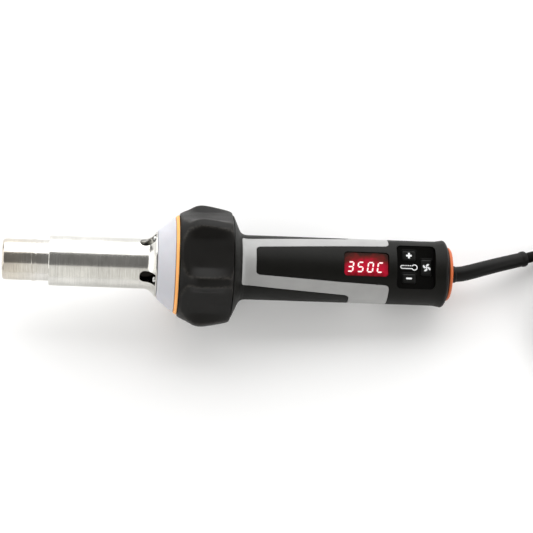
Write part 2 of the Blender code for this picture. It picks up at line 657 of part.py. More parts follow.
def electronics():
    """The power board with its heatsink and capacitor, and the mains terminals."""
    block("power_board", (53.0, 32.0, 1.6), (270.5, 0, -8.0), BOARD, 1.0)
    block("triac_heatsink", (12.0, 18.0, 12.0), (257.0, 0, -6.1), ALUMINIUM, 0.6)
    block("capacitor", (14.0, 16.0, 10.0), (281.0, 0, -6.1), SEAL, 1.2)
    block("terminal_block", (14.0, 18.0, 9.0), (315.5, 0, -9.0), WHITE, 0.8)


def rocker():
    """The mains switch: a body sunk in the underside, and a key that rocks across it."""
    body = block("rocker_body", (*ROCKER_SIZE, 11.2), (ROCKER_AT, 0, -23.4), GLOSS, 0.7)
    bm = bmesh.new()
    add_prism(bm, slab(19.6, 13.2, 0.5, 2), (0, 0), -2.0, 9.0)
    combine(body, "DIFFERENCE", finish("rocker_cutter", bm, None, (ROCKER_AT, 0, -23.4)))
    outline = [Vector(p) for p in ((-8.5, -3.5), (0, -2.9), (8.5, -3.5), (7.6, 1.4), (-7.6, 1.4))]
    rest = Matrix.Rotation(math.radians(10), 2)
    outline = [rest @ p for p in outline]
    bm = bmesh.new()
    add_loft(bm, [[(p.x, y, p.y) for p in outline] for y in (-6.2, 6.2)])
    key = finish("rocker_key", bm, KEYS, (ROCKER_AT, 0, ROCKER_PIVOT))
    edge = key.modifiers.new("edge", "BEVEL")
    edge.width, edge.segments, edge.limit_method = 0.0003, 1, "ANGLE"


def rear_end():
    """The orange ring, the intake grille in it and the filter behind."""
    turned("filter_ring", [(SHELL_END + GAP, 14.6), (SHELL_END + GAP, REAR_RING_RADIUS), (342.3, REAR_RING_RADIUS),
                           (343.3, 20.0), (TOOL_LENGTH, REAR_FLAT), (TOOL_LENGTH, 15.6), (343.4, 14.6)],
           36, ORANGE)
    grille = turned("intake_grille", [(341.4, 6.2), (341.4, 14.2), (343.0, 14.2), (343.0, 6.2)], 24, INNER)
    bm = bmesh.new()
    for k in range(12):
        turn = Matrix.Rotation(math.radians(30 * k + 15), 3, "X")
        outline = ((-1.0, 8.0), (1.0, 8.0), (1.6, 12.8), (-1.6, 12.8))
        add_loft(bm, [[turn @ Vector((s, y, r)) for y, r in outline] for s in (340.0, 345.0)])
    combine(grille, "DIFFERENCE", finish("grille_cutter", bm, None))
    turned("air_filter", [(338.6, 6.2), (338.6, 14.8), (341.0, 14.8), (341.0, 6.2)], 24, FELT)


# The mains lead

def cord_boot():
    """The strain relief: clamped inside the handle, collared outside, then bending down towards the table."""
    inner = [Vector(on_axis(s)) for s in (325.5, 334.0, 343.2, 344.3)]
    outer = catmull([on_axis(344.3)] + list(BOOT_ROUTE), 4.0)[1:]
    line = inner + outer
    collar_end, end = Vector(on_axis(348.5)), line[-1]
    rings = []
    for i, place in enumerate(line):
        ahead = (line[min(i + 1, len(line) - 1)] - line[max(i - 1, 0)]).normalized()
        across = Vector((0, 0, 1)).cross(ahead).normalized()
        up = ahead.cross(across)
        outside = i >= len(inner)
        radius = 5.0
        if outside:
            travelled = (place - line[len(inner) - 1]).length
            left = (end - place).length
            radius = 6.6 if place.x < collar_end.x else 6.0 - 0.5 * travelled / 60
            radius = 6.1 if left < 3.5 else radius
        if i == len(inner) - 1:
            radius = 6.4
        rings.append([place + radius * (math.cos(a) * across + math.sin(a) * up)
                      for a in (math.tau * k / 12 for k in range(12))])
    bm = bmesh.new()
    add_loft(bm, rings)
    finish("cord_boot", bm, RUBBER, parent=None)


def cord_clamp():
    """The saddle over the lead inside the handle."""
    arc = [(5.4 * math.sin(a), 5.4 * math.cos(a)) for a in (math.radians(80 - 20 * k) for k in range(9))]
    outline = [(12.2, 0.2), (12.2, 3.0), (7.5, 8.6), (-7.5, 8.6), (-12.2, 3.0), (-12.2, 0.2)]
    outline += [(y, z) for y, z in reversed(arc)]
    bm = bmesh.new()
    add_loft(bm, [[(s, y, z) for y, z in outline] for s in (327.0, 333.0)])
    finish("cord_clamp", bm, INNER)


def mains_lead():
    """The lead: a short free run, its coil, and a tail on the coil that ends in the plug."""
    cord_tube("mains_cord", catmull(CORD_ROUTE, 12.0), RUBBER)
    across = COIL_TURNS_ACROSS * CORD_RADIUS
    height = 2 * across
    cut = 5.0
    profile = [(COIL_RADIUS - across, cut), (COIL_RADIUS - across, height - cut),
               (COIL_RADIUS - across + cut, height), (COIL_RADIUS + across - cut, height),
               (COIL_RADIUS + across, height - cut), (COIL_RADIUS + across, cut), (COIL_RADIUS + across - cut, 0),
               (COIL_RADIUS - across + cut, 0)]
    bm = bmesh.new()
    verts = [bm.verts.new((r, 0, z)) for r, z in profile]
    edges = [bm.edges.new((verts[i - 1], verts[i])) for i in range(len(verts))]
    bmesh.ops.spin(bm, geom=verts + edges, cent=(0, 0, 0), axis=(0, 0, 1), angle=math.tau, steps=28,
                   use_merge=True)
    finish("cord_coil", bm, RUBBER, (*COIL_CENTRE, 0), None)
    plug_height = height + GAP + PLUG_SIZE[1] / 2
    low = height + GAP + CORD_RADIUS
    steps = 20
    tail = []
    for k in range(steps + 1):
        angle = math.radians(TAIL_START - TAIL_SWEEP * k / steps)
        t = max(0.0, (k / steps - 0.5) / 0.5)
        rise = (plug_height - low) * t * t * (3 - 2 * t)
        tail.append(Vector((COIL_CENTRE[0] + COIL_RADIUS * math.cos(angle),
                            COIL_CENTRE[1] + COIL_RADIUS * math.sin(angle), low + rise)))
    cord_tube("cord_tail", tail, RUBBER)
    heading = tail[-1] - tail[-2]
    heading.z = 0
    heading.normalize()
    plug(tail[-1] + 1.5 * GAP * heading, heading)


def plug(start, heading):
    """The moulded plug, flat side down, and its two round pins."""
    turn = Matrix(((heading.x, -heading.y, 0), (heading.y, heading.x, 0), (0, 0, 1)))
    stations = ((0.0, 10.6, 10.6), (9.0, 12.4, 12.0), (15.0, 19.0, 18.0), (22.0, 31.0, 24.5),
                (27.0, 35.0, 26.0), (PLUG_LENGTH, *PLUG_SIZE))
    bm = bmesh.new()
    rings = []
    for s, wide, high in stations:
        outline = slab(wide, high, 0.42 * high, 4)
        rings.append([turn @ Vector((s, y, z)) for y, z in outline])
    add_loft(bm, rings)
    finish("plug_body", bm, RUBBER, start, None)
    for number, side in enumerate((1, -1), 1):
        bm = bmesh.new()
        angles = [math.tau * k / 12 for k in range(12)]
        face, tip = PLUG_LENGTH + GAP, PLUG_LENGTH + PIN_LENGTH
        steps = ((face, 2.4), (tip - 1.2, 2.4), (tip, 1.3))
        add_loft(bm, [[turn @ Vector((s, side * PIN_SPACING / 2 + r * math.cos(a), r * math.sin(a)))
                       for a in angles] for s, r in steps])
        finish(f"plug_pin_{number}", bm, NICKEL, start, None)


heater_tube()
cooling_sleeve()
flange_screws()
heater()
nose_ring()
front_seal()
air_funnel()
bumper_ring()
upper_shell()
lower_shell()
inlays()
housing_screws()
display()
keypad()
motor()
fan_impeller()
electronics()
rocker()
rear_end()
cord_boot()
cord_clamp()
mains_lead()
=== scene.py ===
import json
import math

import bpy
import numpy as np
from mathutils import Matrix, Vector


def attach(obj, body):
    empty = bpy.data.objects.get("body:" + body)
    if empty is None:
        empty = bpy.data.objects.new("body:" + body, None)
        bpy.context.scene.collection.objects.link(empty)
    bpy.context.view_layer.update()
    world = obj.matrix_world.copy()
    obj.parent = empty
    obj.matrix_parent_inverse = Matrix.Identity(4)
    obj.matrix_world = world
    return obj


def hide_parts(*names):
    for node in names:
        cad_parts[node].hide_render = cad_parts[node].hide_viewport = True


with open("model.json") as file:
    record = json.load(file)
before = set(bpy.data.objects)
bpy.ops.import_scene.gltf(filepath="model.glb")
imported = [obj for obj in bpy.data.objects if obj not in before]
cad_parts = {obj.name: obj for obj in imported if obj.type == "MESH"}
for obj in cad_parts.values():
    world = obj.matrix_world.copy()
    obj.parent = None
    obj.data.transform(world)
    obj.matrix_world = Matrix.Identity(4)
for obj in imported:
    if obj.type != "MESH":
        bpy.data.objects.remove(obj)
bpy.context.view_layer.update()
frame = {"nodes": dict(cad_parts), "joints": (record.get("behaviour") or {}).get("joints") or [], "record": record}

mm = 0.001

# The tool's own axes: along it from the nozzle's mouth, across it, and up out of its panel.
joints = {joint["name"]: joint for joint in frame["joints"]}
blowerMiddle = 185.0  # how far the blower's joint is from the mouth, in mm
toolAlong = np.array(joints["blower_spin"]["axis"], float)
toolUp = -np.array(joints["plus_press"]["axis"], float)
toolAcross = np.cross(toolUp, toolAlong)
toolAxes = np.stack([toolAlong, toolAcross, toolUp])
toolStart = np.array(joints["blower_spin"]["pos_m"], float) - toolAlong * blowerMiddle * mm
toolTilt = math.atan2(-toolAlong[2], toolAlong[0])

print("frame loaded:", len(frame["nodes"]), "nodes, tool leaning", round(math.degrees(toolTilt), 2),
      "degrees")


def inRow(points):
    # Millimetres along, across and up from the nozzle's mouth, turned into metres in the row
    return toolStart + (np.asarray(points, float) * mm) @ toolAxes


# Camera, floor and light

studio = {
    "cameraElevation": 76.0,   # degrees above the floor
    "cameraDistance": 1.5,
    "cameraRoll": 0.75,        # degrees
    "lens": 131.6,
    "lookAt": (200.0, 0.0, 0.0),   # along, across and up the tool, mm
    "lookShift": (0.0017, 0.0011),   # the frame's middle lies this far from that point, m
    "floorSize": 3.2,
    "floorColour": (0.96, 0.96, 0.96),
    "ambient": 0.23,
}


def makeCamera():
    elevation = math.radians(studio["cameraElevation"])
    back = np.array([0.0, -math.cos(elevation), math.sin(elevation)])
    target = inRow(studio["lookAt"]) + np.array([studio["lookShift"][0], studio["lookShift"][1], 0.0])
    data = bpy.data.cameras.new("camera")
    data.lens = studio["lens"]
    data.sensor_width = 36.0
    camera = bpy.data.objects.new("camera", data)
    camera.location = target + back * studio["cameraDistance"]
    camera.rotation_euler = (math.pi / 2 - elevation, 0.0, 0.0)
    camera.rotation_euler.rotate_axis("Z", math.radians(studio["cameraRoll"]))
    bpy.context.scene.collection.objects.link(camera)
    bpy.context.scene.camera = camera


def makeLight(name, size, place, aim, power, warmth):
    data = bpy.data.lights.new(name, "AREA")
    data.shape = "RECTANGLE"
    data.size, data.size_y = size
    data.energy = power
    data.color = warmth
    lamp = bpy.data.objects.new(name, data)
    lamp.location = place
    direction = np.array(aim, float) - np.array(place, float)
    lamp.visible_camera = False
    lamp.rotation_euler = Vector(direction).to_track_quat("-Z", "Y").to_euler()
    bpy.context.scene.collection.objects.link(lamp)


def makeStudio():
    makeCamera()
    makeLight("farSoftbox", (2.4, 1.7), (0.1, 1.1, 0.68), (0.03, 0, 0.0), 35, (1.0, 1.0, 1.0))
    makeLight("nearSoftbox", (2.4, 1.45), (0.0, -1.18, 0.62), (0.03, 0, 0.0), 8.5, (1.0, 0.99, 0.955))
    makeLight("noseSoftbox", (1.7, 1.3), (-1.3, 0.0, 0.6), (0.0, 0, 0.0), 13, (1.0, 1.0, 1.0))
    makeLight("rearSoftbox", (1.7, 1.2), (1.5, -0.1, 0.55), (0.2, 0, 0.0), 13, (1.0, 1.0, 1.0))
    world = bpy.data.worlds.new("studio")
    world.use_nodes = True
    background = world.node_tree.nodes["Background"]
    background.inputs["Color"].default_value = (1.0, 0.99, 0.97, 1.0)
    background.inputs["Strength"].default_value = studio["ambient"]
    bpy.context.scene.world = world
    bpy.context.scene.view_settings.view_transform = "Standard"


makeStudio()


# Shapes worked out as arrays

def flat(value):
    # A surface at one height everywhere
    return lambda x, y: np.full(x.shape, value)


def aroundAxis(along, radius, angle):
    # Points at a radius from the tool's axis: angle 0 is up, a quarter turn is across
    return np.stack([along, radius * np.sin(angle), radius * np.cos(angle)], -1)


def crossGrid(along, across):
    return np.meshgrid(along, across, indexing="ij")


def spread(low, high, spacing):
    # Evenly spaced numbers from low to high, no further apart than the spacing
    return np.linspace(low, high, max(2, int(math.ceil((high - low) / spacing)) + 1))


def softened(corners, reach, steps=3, closed=True):
    # Each corner becomes a quadratic curve that starts `reach` before it and ends `reach` after it
    corners = np.asarray(corners, float)
    reach = np.broadcast_to(np.asarray(reach, float), len(corners))[:, None]
    before = np.roll(corners, 1, 0) - corners
    after = np.roll(corners, -1, 0) - corners
    first = corners + before * np.minimum(0.48, reach / np.linalg.norm(before, axis=1, keepdims=True))
    last = corners + after * np.minimum(0.48, reach / np.linalg.norm(after, axis=1, keepdims=True))
    if not closed:
        first[0] = corners[0]
        last[0] = corners[0]
        first[-1] = corners[-1]
        last[-1] = corners[-1]
    t = np.linspace(0, 1, steps + 1)[None, :, None]
    curve = (1 - t) ** 2 * first[:, None] + 2 * t * (1 - t) * corners[:, None] + t ** 2 * last[:, None]
    if closed:
        return curve.reshape(-1, 2)
    return np.concatenate([corners[:1], curve[1:-1].reshape(-1, 2), corners[-1:]])


def turned(profile, sides):
    # A loop of (along, radius) carried round the tool's axis
    along, radius = np.asarray(profile, float).T[:, :, None]
    angles = np.linspace(0, 2 * math.pi, sides, endpoint=False)
    return aroundAxis(np.broadcast_to(along, (len(along), sides)), radius, angles)


def gridFaces(rows, columns, closedRows=False, closedColumns=False):
    # The four-sided faces between neighbouring points of a grid, which may close on itself either way
    index = np.arange(rows * columns).reshape(rows, columns)
    if closedRows:
        index = np.vstack([index, index[:1]])
    if closedColumns:
        index = np.hstack([index, index[:, :1]])
    corners = [index[:-1, :-1], index[1:, :-1], index[1:, 1:], index[:-1, 1:]]
    return np.stack(corners, -1).reshape(-1, 4)


def outlineDistance(x, y, outline):
    # Distance to a closed outline, below zero inside: the nearest point of each edge in turn,
    # and inside where a ray crosses the outline an odd number of times
    nearest = np.full(np.shape(x), 1e9)
    inside = np.zeros(np.shape(x), bool)
    for (x0, y0), (x1, y1) in zip(outline, np.roll(outline, -1, 0)):
        dx, dy = x1 - x0, y1 - y0
        share = np.clip(((x - x0) * dx + (y - y0) * dy) / max(dx * dx + dy * dy, 1e-12), 0, 1)
        nearest = np.minimum(nearest, np.hypot(x - x0 - share * dx, y - y0 - share * dy))
        crossing = (y0 > y) != (y1 > y)
        inside ^= crossing & (x < x0 + (y - y0) * dx / (dy if dy else 1e-9))
    return np.where(inside, -nearest, nearest)


def roundedBox(x, y, centre, size, corner):
    # Distance to a rectangle with round corners: past the inner box, less the corner's radius
    overX = np.abs(x - centre[0]) - size[0] / 2 + corner
    overY = np.abs(y - centre[1]) - size[1] / 2 + corner
    past = np.hypot(np.maximum(overX, 0), np.maximum(overY, 0))
    return past + np.minimum(np.maximum(overX, overY), 0) - corner


def boxDistance(centre, size, corner):
    return lambda x, y: roundedBox(x, y, centre, size, corner)


def slabDistance(slab):
    # The same, for a box on the tool's middle line that is given as its place along, length, width and corner
    return boxDistance((slab[0], 0.0), slab[1:3], slab[3])


def smoothStep(value, low, high):
    # From 0 to 1 between two values, level at both ends: three times the square less twice the cube
    t = np.clip((value - low) / (high - low), 0, 1)
    return t * t * (3 - 2 * t)


def snapped(x, y, distance):
    # Grid points within half a cell of a line step onto it, back along the slope of the distance.
    # Also says where each point ends up: -1 inside, 0 on the line, 1 outside
    step = 0.004
    here = distance(x, y)
    slopeX = (distance(x + step, y) - distance(x - step, y)) / (2 * step)
    slopeY = (distance(x, y + step) - distance(x, y - step)) / (2 * step)
    steep = slopeX ** 2 + slopeY ** 2 + 1e-9
    cellX = np.abs(np.gradient(x, axis=0))
    cellY = np.abs(np.gradient(y, axis=1))
    near = np.abs(here) < 0.499 * np.maximum(np.abs(slopeX) * cellX, np.abs(slopeY) * cellY)
    moved = np.where(near, here / steep, 0)
    return x - moved * slopeX, y - moved * slopeY, np.where(near, 0, np.sign(here)).astype(int)


def facesWhere(side, rows, columns, closedColumns=False):
    # Whole faces where no corner is inside, and a triangle where just one corner is
    quads = gridFaces(rows, columns, closedColumns=closedColumns)
    states = side.ravel()[quads]
    insideCount = (states < 0).sum(1)
    whole = quads[(insideCount == 0) & ((states > 0).any(1))]
    single = (insideCount == 1) & (states > 0).any(1)
    cut = quads[single]
    corner = np.argmax(states[single] < 0, 1)
    order = (corner[:, None] + np.array([[1, 2, 3]])) % 4
    return [whole, np.take_along_axis(cut, order, 1)]


def seamJoined(faces, shape):
    # Faces on a grid that has gone all the way round use its first column in place of its last
    join = np.arange(shape[0] * shape[1]).reshape(shape)
    join[:, -1] = join[:, 0]
    return [join.ravel()[part] for part in faces]


def directedEdges(faces):
    # Every face's edges in turn, as pairs of point numbers
    pairs = [np.stack([part.ravel(), np.roll(part, -1, 1).ravel()], 1) for part in faces if len(part)]
    return np.concatenate(pairs)


def rimEdges(faces, count):
    # The edges that only one face has, in that face's direction
    edges = directedEdges(faces)
    return edges[~np.isin(edges[:, 0] * count + edges[:, 1], edges[:, 1] * count + edges[:, 0])]


def walled(levels, inner):
    # A closed body from skins that share one grid: each level's faces at its own height, walls where two
    # levels meet, the inner skin turned over below them all, and walls down to it round every open rim
    count = len(inner)
    points = np.concatenate([points for points, faces in levels] + [inner])
    base = len(levels) * count
    quads = []
    triangles = []
    rims = [rimEdges(faces, count) for points, faces in levels]
    for number, (_, faces) in enumerate(levels):
        quads += [faces[0] + number * count, faces[0][:, ::-1] + base]
        triangles += [faces[1] + number * count, faces[1][:, ::-1] + base]
        lower = np.full(len(rims[number]), base)
        for other in range(len(levels)):
            if other != number:
                shared = np.isin(rims[number][:, 0] * count + rims[number][:, 1],
                                 rims[other][:, 1] * count + rims[other][:, 0])
                lower[shared] = other * count if other > number else -1
        rim = rims[number][lower >= 0]
        lower = lower[lower >= 0]
        own = number * count
        quads.append(np.stack([rim[:, 1] + own, rim[:, 0] + own, rim[:, 0] + lower, rim[:, 1] + lower], 1))
    return points, [np.concatenate(quads), np.concatenate(triangles)]


def lofted(sections):
    # A body through closed sections, each end drawn in to its middle point
    sections = np.asarray(sections, float)
    rows, columns = sections.shape[:2]
    points = np.concatenate([sections.reshape(-1, 3), sections[:1].mean(1), sections[-1:].mean(1)])
    ring = np.arange(columns)
    following = np.roll(ring, -1)
    last = (rows - 1) * columns
    ends = np.concatenate([
        np.stack([following, ring, np.full(columns, rows * columns)], 1)[:, ::-1],
        np.stack([ring + last, following + last, np.full(columns, rows * columns + 1)], 1)[:, ::-1]])
    return points, [gridFaces(rows, columns, closedColumns=True), ends]


def outwardFaces(points, faces):
    # All faces are turned over together if, added up, they look at the body's middle
    middle = points.mean(0)
    total = 0.0
    for part in faces:
        if len(part):
            corners = points[part]
            area = np.cross(corners[:, 1] - corners[:, 0], corners[:, 2] - corners[:, 0])
            if part.shape[1] == 4:
                area = area + np.cross(corners[:, 2] - corners[:, 0], corners[:, 3] - corners[:, 0])
            total += (area * (corners.mean(1) - middle)).sum()
    return faces if total >= 0 else [part[:, ::-1] for part in faces]


def makePiece(name, shapes, finish, replaced=None, body="housing", bevel=None, sharp=35, edge=None):
    # Puts (points in metres, faces) shapes into one mesh that rides on a body and stands for a CAD node
    allPoints = []
    parts = {3: [np.zeros((0, 3), int)], 4: [np.zeros((0, 4), int)]}
    start = 0
    for points, faces in shapes:
        for part in outwardFaces(points, faces):
            parts[part.shape[1]].append(part + start)
        allPoints.append(points)
        start += len(points)
    points = np.concatenate(allPoints)
    quads, triangles = np.concatenate(parts[4]), np.concatenate(parts[3])
    used = np.zeros(len(points), bool)
    used[quads.ravel()] = True
    used[triangles.ravel()] = True
    number = np.cumsum(used) - 1
    quads, triangles, points = number[quads], number[triangles], points[used]
    mesh = bpy.data.meshes.new(name)
    mesh.vertices.add(len(points))
    mesh.vertices.foreach_set("co", points.astype(np.float32).ravel())
    mesh.loops.add(quads.size + triangles.size)
    corners = np.concatenate([quads.ravel(), triangles.ravel()])
    mesh.loops.foreach_set("vertex_index", corners.astype(np.int32))
    mesh.polygons.add(len(quads) + len(triangles))
    starts = np.concatenate([np.arange(len(quads)) * 4, quads.size + np.arange(len(triangles)) * 3])
    mesh.polygons.foreach_set("loop_start", starts.astype(np.int32))
    mesh.update(calc_edges=True)
    mesh.validate()
    if edge is not None:
        wear = mesh.attributes.new("edge", "FLOAT", "POINT")
        wear.data.foreach_set("value", edge[used].astype(np.float32))
    mesh.shade_smooth()
    mesh.set_sharp_from_angle(angle=math.radians(sharp))
    mesh.materials.append(finishes[finish])
    piece = bpy.data.objects.new(name, mesh)
    bpy.context.scene.collection.objects.link(piece)
    if bevel:
        rounding = piece.modifiers.new("softEdges", "BEVEL")
        rounding.width = bevel * mm
        rounding.segments = 2
        rounding.limit_method = "ANGLE"
        rounding.angle_limit = math.radians(40)
        rounding.harden_normals = True
        rounding.use_clamp_overlap = True
    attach(piece, body)
    if replaced:
        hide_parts(replaced)
    return piece


def plateShape(along, across, distance, top, bottom):
    # A flat piece cut to a line: its points are kept where the distance is below zero, between two heights
    x, y = crossGrid(along, across)
    x, y, side = snapped(x, y, distance)
    faces = facesWhere(-side, *x.shape)
    high = np.stack([x, y, top(x, y)], -1).reshape(-1, 3)
    low = np.stack([x, y, bottom(x, y)], -1).reshape(-1, 3)
    points, faces = walled([(high, faces)], low)
    return inRow(points), faces


def ringShape(profile, sides, change=None):
    # A turned ring, whose points may then be changed by a function
    points = turned(profile, sides)
    if change:
        points = change(points)
    return inRow(points.reshape(-1, 3)), [gridFaces(*points.shape[:2], True, True)]


def smoothPath(places, perSpan):
    # A curve through given places: on each span, the cubic whose slope at a place is half the step
    # from the place before it to the place after it
    places = np.asarray(places, float)
    padded = np.concatenate([2 * places[:1] - places[1:2], places, 2 * places[-1:] - places[-2:-1]])
    p0, p1, p2, p3 = (padded[k:len(padded) - 3 + k, None] for k in range(4))
    t = np.linspace(0, 1, perSpan, endpoint=False)[None, :, None]
    curve = 0.5 * (2 * p1 + (p2 - p0) * t + (2 * p0 - 5 * p1 + 4 * p2 - p3) * t ** 2
                   + (3 * p1 - p0 - 3 * p2 + p3) * t ** 3)
    return np.concatenate([curve.reshape(-1, 3), places[-1:]])


# Finishes

def startFinish(name):
    finish = bpy.data.materials.new(name)
    finish.use_nodes = True
    return finish, finish.node_tree, finish.node_tree.nodes["Principled BSDF"]


def fill(tree, node, inputs):
    # A socket is linked where it is given another node's output, and set where it is given a value
    for socket, value in inputs.items():
        if isinstance(value, bpy.types.NodeSocket):
            tree.links.new(value, node.inputs[socket])
        else:
            node.inputs[socket].default_value = value


def addNode(tree, kind, inputs, **settings):
    node = tree.nodes.new("ShaderNode" + kind)
    for setting, value in settings.items():
        setattr(node, setting, value)
    fill(tree, node, inputs)
    return node


def toolSpace(tree, stretch=None):
    # Object coordinates turned to the tool's own axes and counted in mm, then stretched
    place = addNode(tree, "TexCoord", {}).outputs["Object"]
    place = addNode(tree, "Mapping", {"Vector": place, "Location": tuple(toolStart), "Scale": (mm, mm, mm),
                                      "Rotation": (0.0, toolTilt, 0.0)}, vector_type="TEXTURE")
    place = place.outputs["Vector"]
    if stretch:
        place = addNode(tree, "Mapping", {"Vector": place, "Scale": stretch}).outputs["Vector"]
    return place


def noise(tree, place, scale, detail=3.0, roughness=0.55):
    return addNode(tree, "TexNoise", {"Vector": place, "Scale": scale, "Detail": detail,
                                      "Roughness": roughness}).outputs["Fac"]


def colourRamp(tree, factor, stops):
    ramp = addNode(tree, "ValToRGB", {"Fac": factor})
    elements = ramp.color_ramp.elements
    while len(elements) < len(stops):
        elements.new(0.5)
    for element, (position, colour) in zip(elements, stops):
        element.position = position
        element.color = (*colour, 1.0)
    return ramp.outputs["Color"]


def rescale(tree, value, low, high, fromLow=0.3, fromHigh=0.7):
    return addNode(tree, "MapRange", {"Value": value, "From Min": fromLow, "From Max": fromHigh,
                                      "To Min": low, "To Max": high}).outputs["Result"]


def combine(tree, operation, first, second):
    return addNode(tree, "Math", {0: first, 1: second}, operation=operation).outputs[0]


def blended(tree, first, second, share):
    # The first value's share of a whole, and the second's rest of it
    return combine(tree, "ADD", combine(tree, "MULTIPLY", first, share),
                   combine(tree, "MULTIPLY", second, 1 - share))


def mixed(tree, factor, first, second, **settings):
    return addNode(tree, "Mix", {0: factor, 6: first, 7: second}, data_type="RGBA", **settings).outputs[2]


def relief(tree, height, depth):
    # A bump as deep as `depth` in mm
    bump = addNode(tree, "Bump", {"Height": height, "Strength": 1.0, "Distance": depth * mm})
    return bump.outputs["Normal"]


def mouldedFinish(name, look):
    # Moulded plastic or rubber: a slow drift of colour, fine grain in its surface, handling marks in its
    # gloss, and edges that are rubbed lighter where the piece carries an edge attribute
    dark, light, gloss, (grainScale, grainDepth), more = look
    finish, tree, shader = startFinish(name)
    place = toolSpace(tree)
    drift = noise(tree, place, more.get("driftScale", 0.06), 4.0)
    speck = noise(tree, place, more.get("speckScale", 3.0), 2.0, 0.7)
    colour = colourRamp(tree, blended(tree, drift, speck, 0.65), [(0.32, dark), (0.68, light)])
    if "worn" in more:
        edge = addNode(tree, "Attribute", {}, attribute_name="edge").outputs["Fac"]
        scuff = combine(tree, "MULTIPLY", edge, rescale(tree, noise(tree, place, 0.5, 5.0), 0.0, 1.0))
        colour = mixed(tree, scuff, colour, (*more["worn"], 1.0), clamp_factor=True)
    marks = noise(tree, toolSpace(tree, (0.35, 1.0, 1.0)), 0.12, 5.0, 0.62)
    cells = addNode(tree, "TexVoronoi", {"Vector": place, "Scale": grainScale}).outputs["Distance"]
    fill(tree, shader, {
        "Base Color": colour, "Roughness": rescale(tree, marks, *gloss),
        "Normal": relief(tree, combine(tree, "ADD", cells, speck), grainDepth),
        "Specular IOR Level": more.get("specular", 0.5), "Coat Weight": more.get("coat", 0.0),
        "Coat Roughness": 0.1, "Sheen Weight": more.get("sheen", 0.0), "Sheen Roughness": 0.4,
        "Subsurface Weight": more.get("depth", 0.0), "Subsurface Scale": 0.0015})
    return finish


def metalFinish(name, look):
    # Metal with drawn or brushed lines: a noise stretched along the strokes changes its colour, gloss and
    # relief. On the heater tube's steel, a tint that changes along the tool is multiplied in: heat tint near the
    # mouth, then painted shade that falls to near black inside the cooling sleeve
    dark, light, strokes, gloss, depth = look
    finish, tree, shader = startFinish(name)
    lines = noise(tree, toolSpace(tree, strokes), 1.0, 4.0, 0.65)
    cloud = noise(tree, toolSpace(tree), 0.05, 4.0)
    colour = colourRamp(tree, blended(tree, lines, cloud, 0.6), [(0.4, dark), (0.6, light)])
    if name == "heatTintedShadedSteel":
        along = addNode(tree, "SeparateXYZ", {"Vector": toolSpace(tree)}).outputs["X"]
        drifting = combine(tree, "ADD", along, rescale(tree, cloud, -3.0, 3.0))
        # the tint's later stops darken the tube to near black: painted shade inside the cooling sleeve
        tintAndShade = colourRamp(tree, rescale(tree, drifting, 0.0, 1.0, 0.0, heatTintAndShade["reach"]), heatTintAndShade["stops"])
        colour = mixed(tree, 1.0, colour, tintAndShade, blend_type="MULTIPLY")
    fill(tree, shader, {"Base Color": colour, "Roughness": rescale(tree, lines, *gloss),
                        "Normal": relief(tree, lines, depth), "Metallic": 1.0})
    return finish


# Dark and light colour, the range of its roughness, the grain's scale and depth, and what else differs
moulded = {
    "softGrip": ((0.0025, 0.0024, 0.0017), (0.005, 0.0048, 0.0037), (0.42, 0.54), (2.2, 0.012),
                 {"specular": 0.13}),
    "ringRubber": ((0.0018, 0.0015, 0.0011), (0.0042, 0.0036, 0.0027), (0.38, 0.5), (1.8, 0.016),
                   {"worn": (0.034, 0.031, 0.027), "specular": 0.17}),
    "inlayGrey": ((0.295, 0.295, 0.293), (0.34, 0.34, 0.335), (0.34, 0.46), (3.0, 0.008), {}),
    "palePlastic": ((0.47, 0.47, 0.505), (0.52, 0.52, 0.56), (0.36, 0.5), (2.0, 0.008), {"depth": 0.08}),
    "orangeSilicone": ((0.84, 0.36, 0.08), (0.92, 0.43, 0.12), (0.38, 0.5), (2.0, 0.008), {"depth": 0.12}),
    "orangePlastic": ((0.48, 0.085, 0.010), (0.58, 0.115, 0.017), (0.34, 0.46), (2.4, 0.008), {}),
    "blackGloss": ((0.0018, 0.0017, 0.0015), (0.0032, 0.0031, 0.0028), (0.16, 0.26), (1.2, 0.001),
                   {"coat": 0.02, "specular": 0.06}),
    "keyRubber": ((0.003, 0.003, 0.0027), (0.0055, 0.0055, 0.005), (0.34, 0.46), (3.0, 0.004),
                  {"specular": 0.13}),
    "blackNylon": ((0.022, 0.022, 0.024), (0.036, 0.036, 0.038), (0.42, 0.58), (2.0, 0.012), {}),
    "cordRubber": ((0.0018, 0.0016, 0.0013), (0.0036, 0.0033, 0.0028), (0.4, 0.58), (2.5, 0.014),
                   {"specular": 0.06}),
    "bootRubber": ((0.0026, 0.0024, 0.002), (0.005, 0.0048, 0.0042), (0.36, 0.52), (2.5, 0.01),
                   {"specular": 0.15}),
    "keyPrint": ((0.74, 0.75, 0.76), (0.84, 0.85, 0.85), (0.4, 0.55), (6.0, 0.002), {}),
    "whitePlastic": ((0.66, 0.66, 0.62), (0.74, 0.74, 0.70), (0.38, 0.5), (2.0, 0.008), {}),
    "mica": ((0.36, 0.27, 0.14), (0.58, 0.47, 0.3), (0.3, 0.55), (0.7, 0.03), {"driftScale": 0.3}),
    "whiteCeramic": ((0.70, 0.66, 0.58), (0.80, 0.77, 0.7), (0.6, 0.85), (2.6, 0.03), {}),
    "filterFelt": ((0.18, 0.18, 0.18), (0.36, 0.36, 0.35), (0.85, 1.0), (4.0, 0.2),
                   {"speckScale": 5.0, "sheen": 0.4}),
}
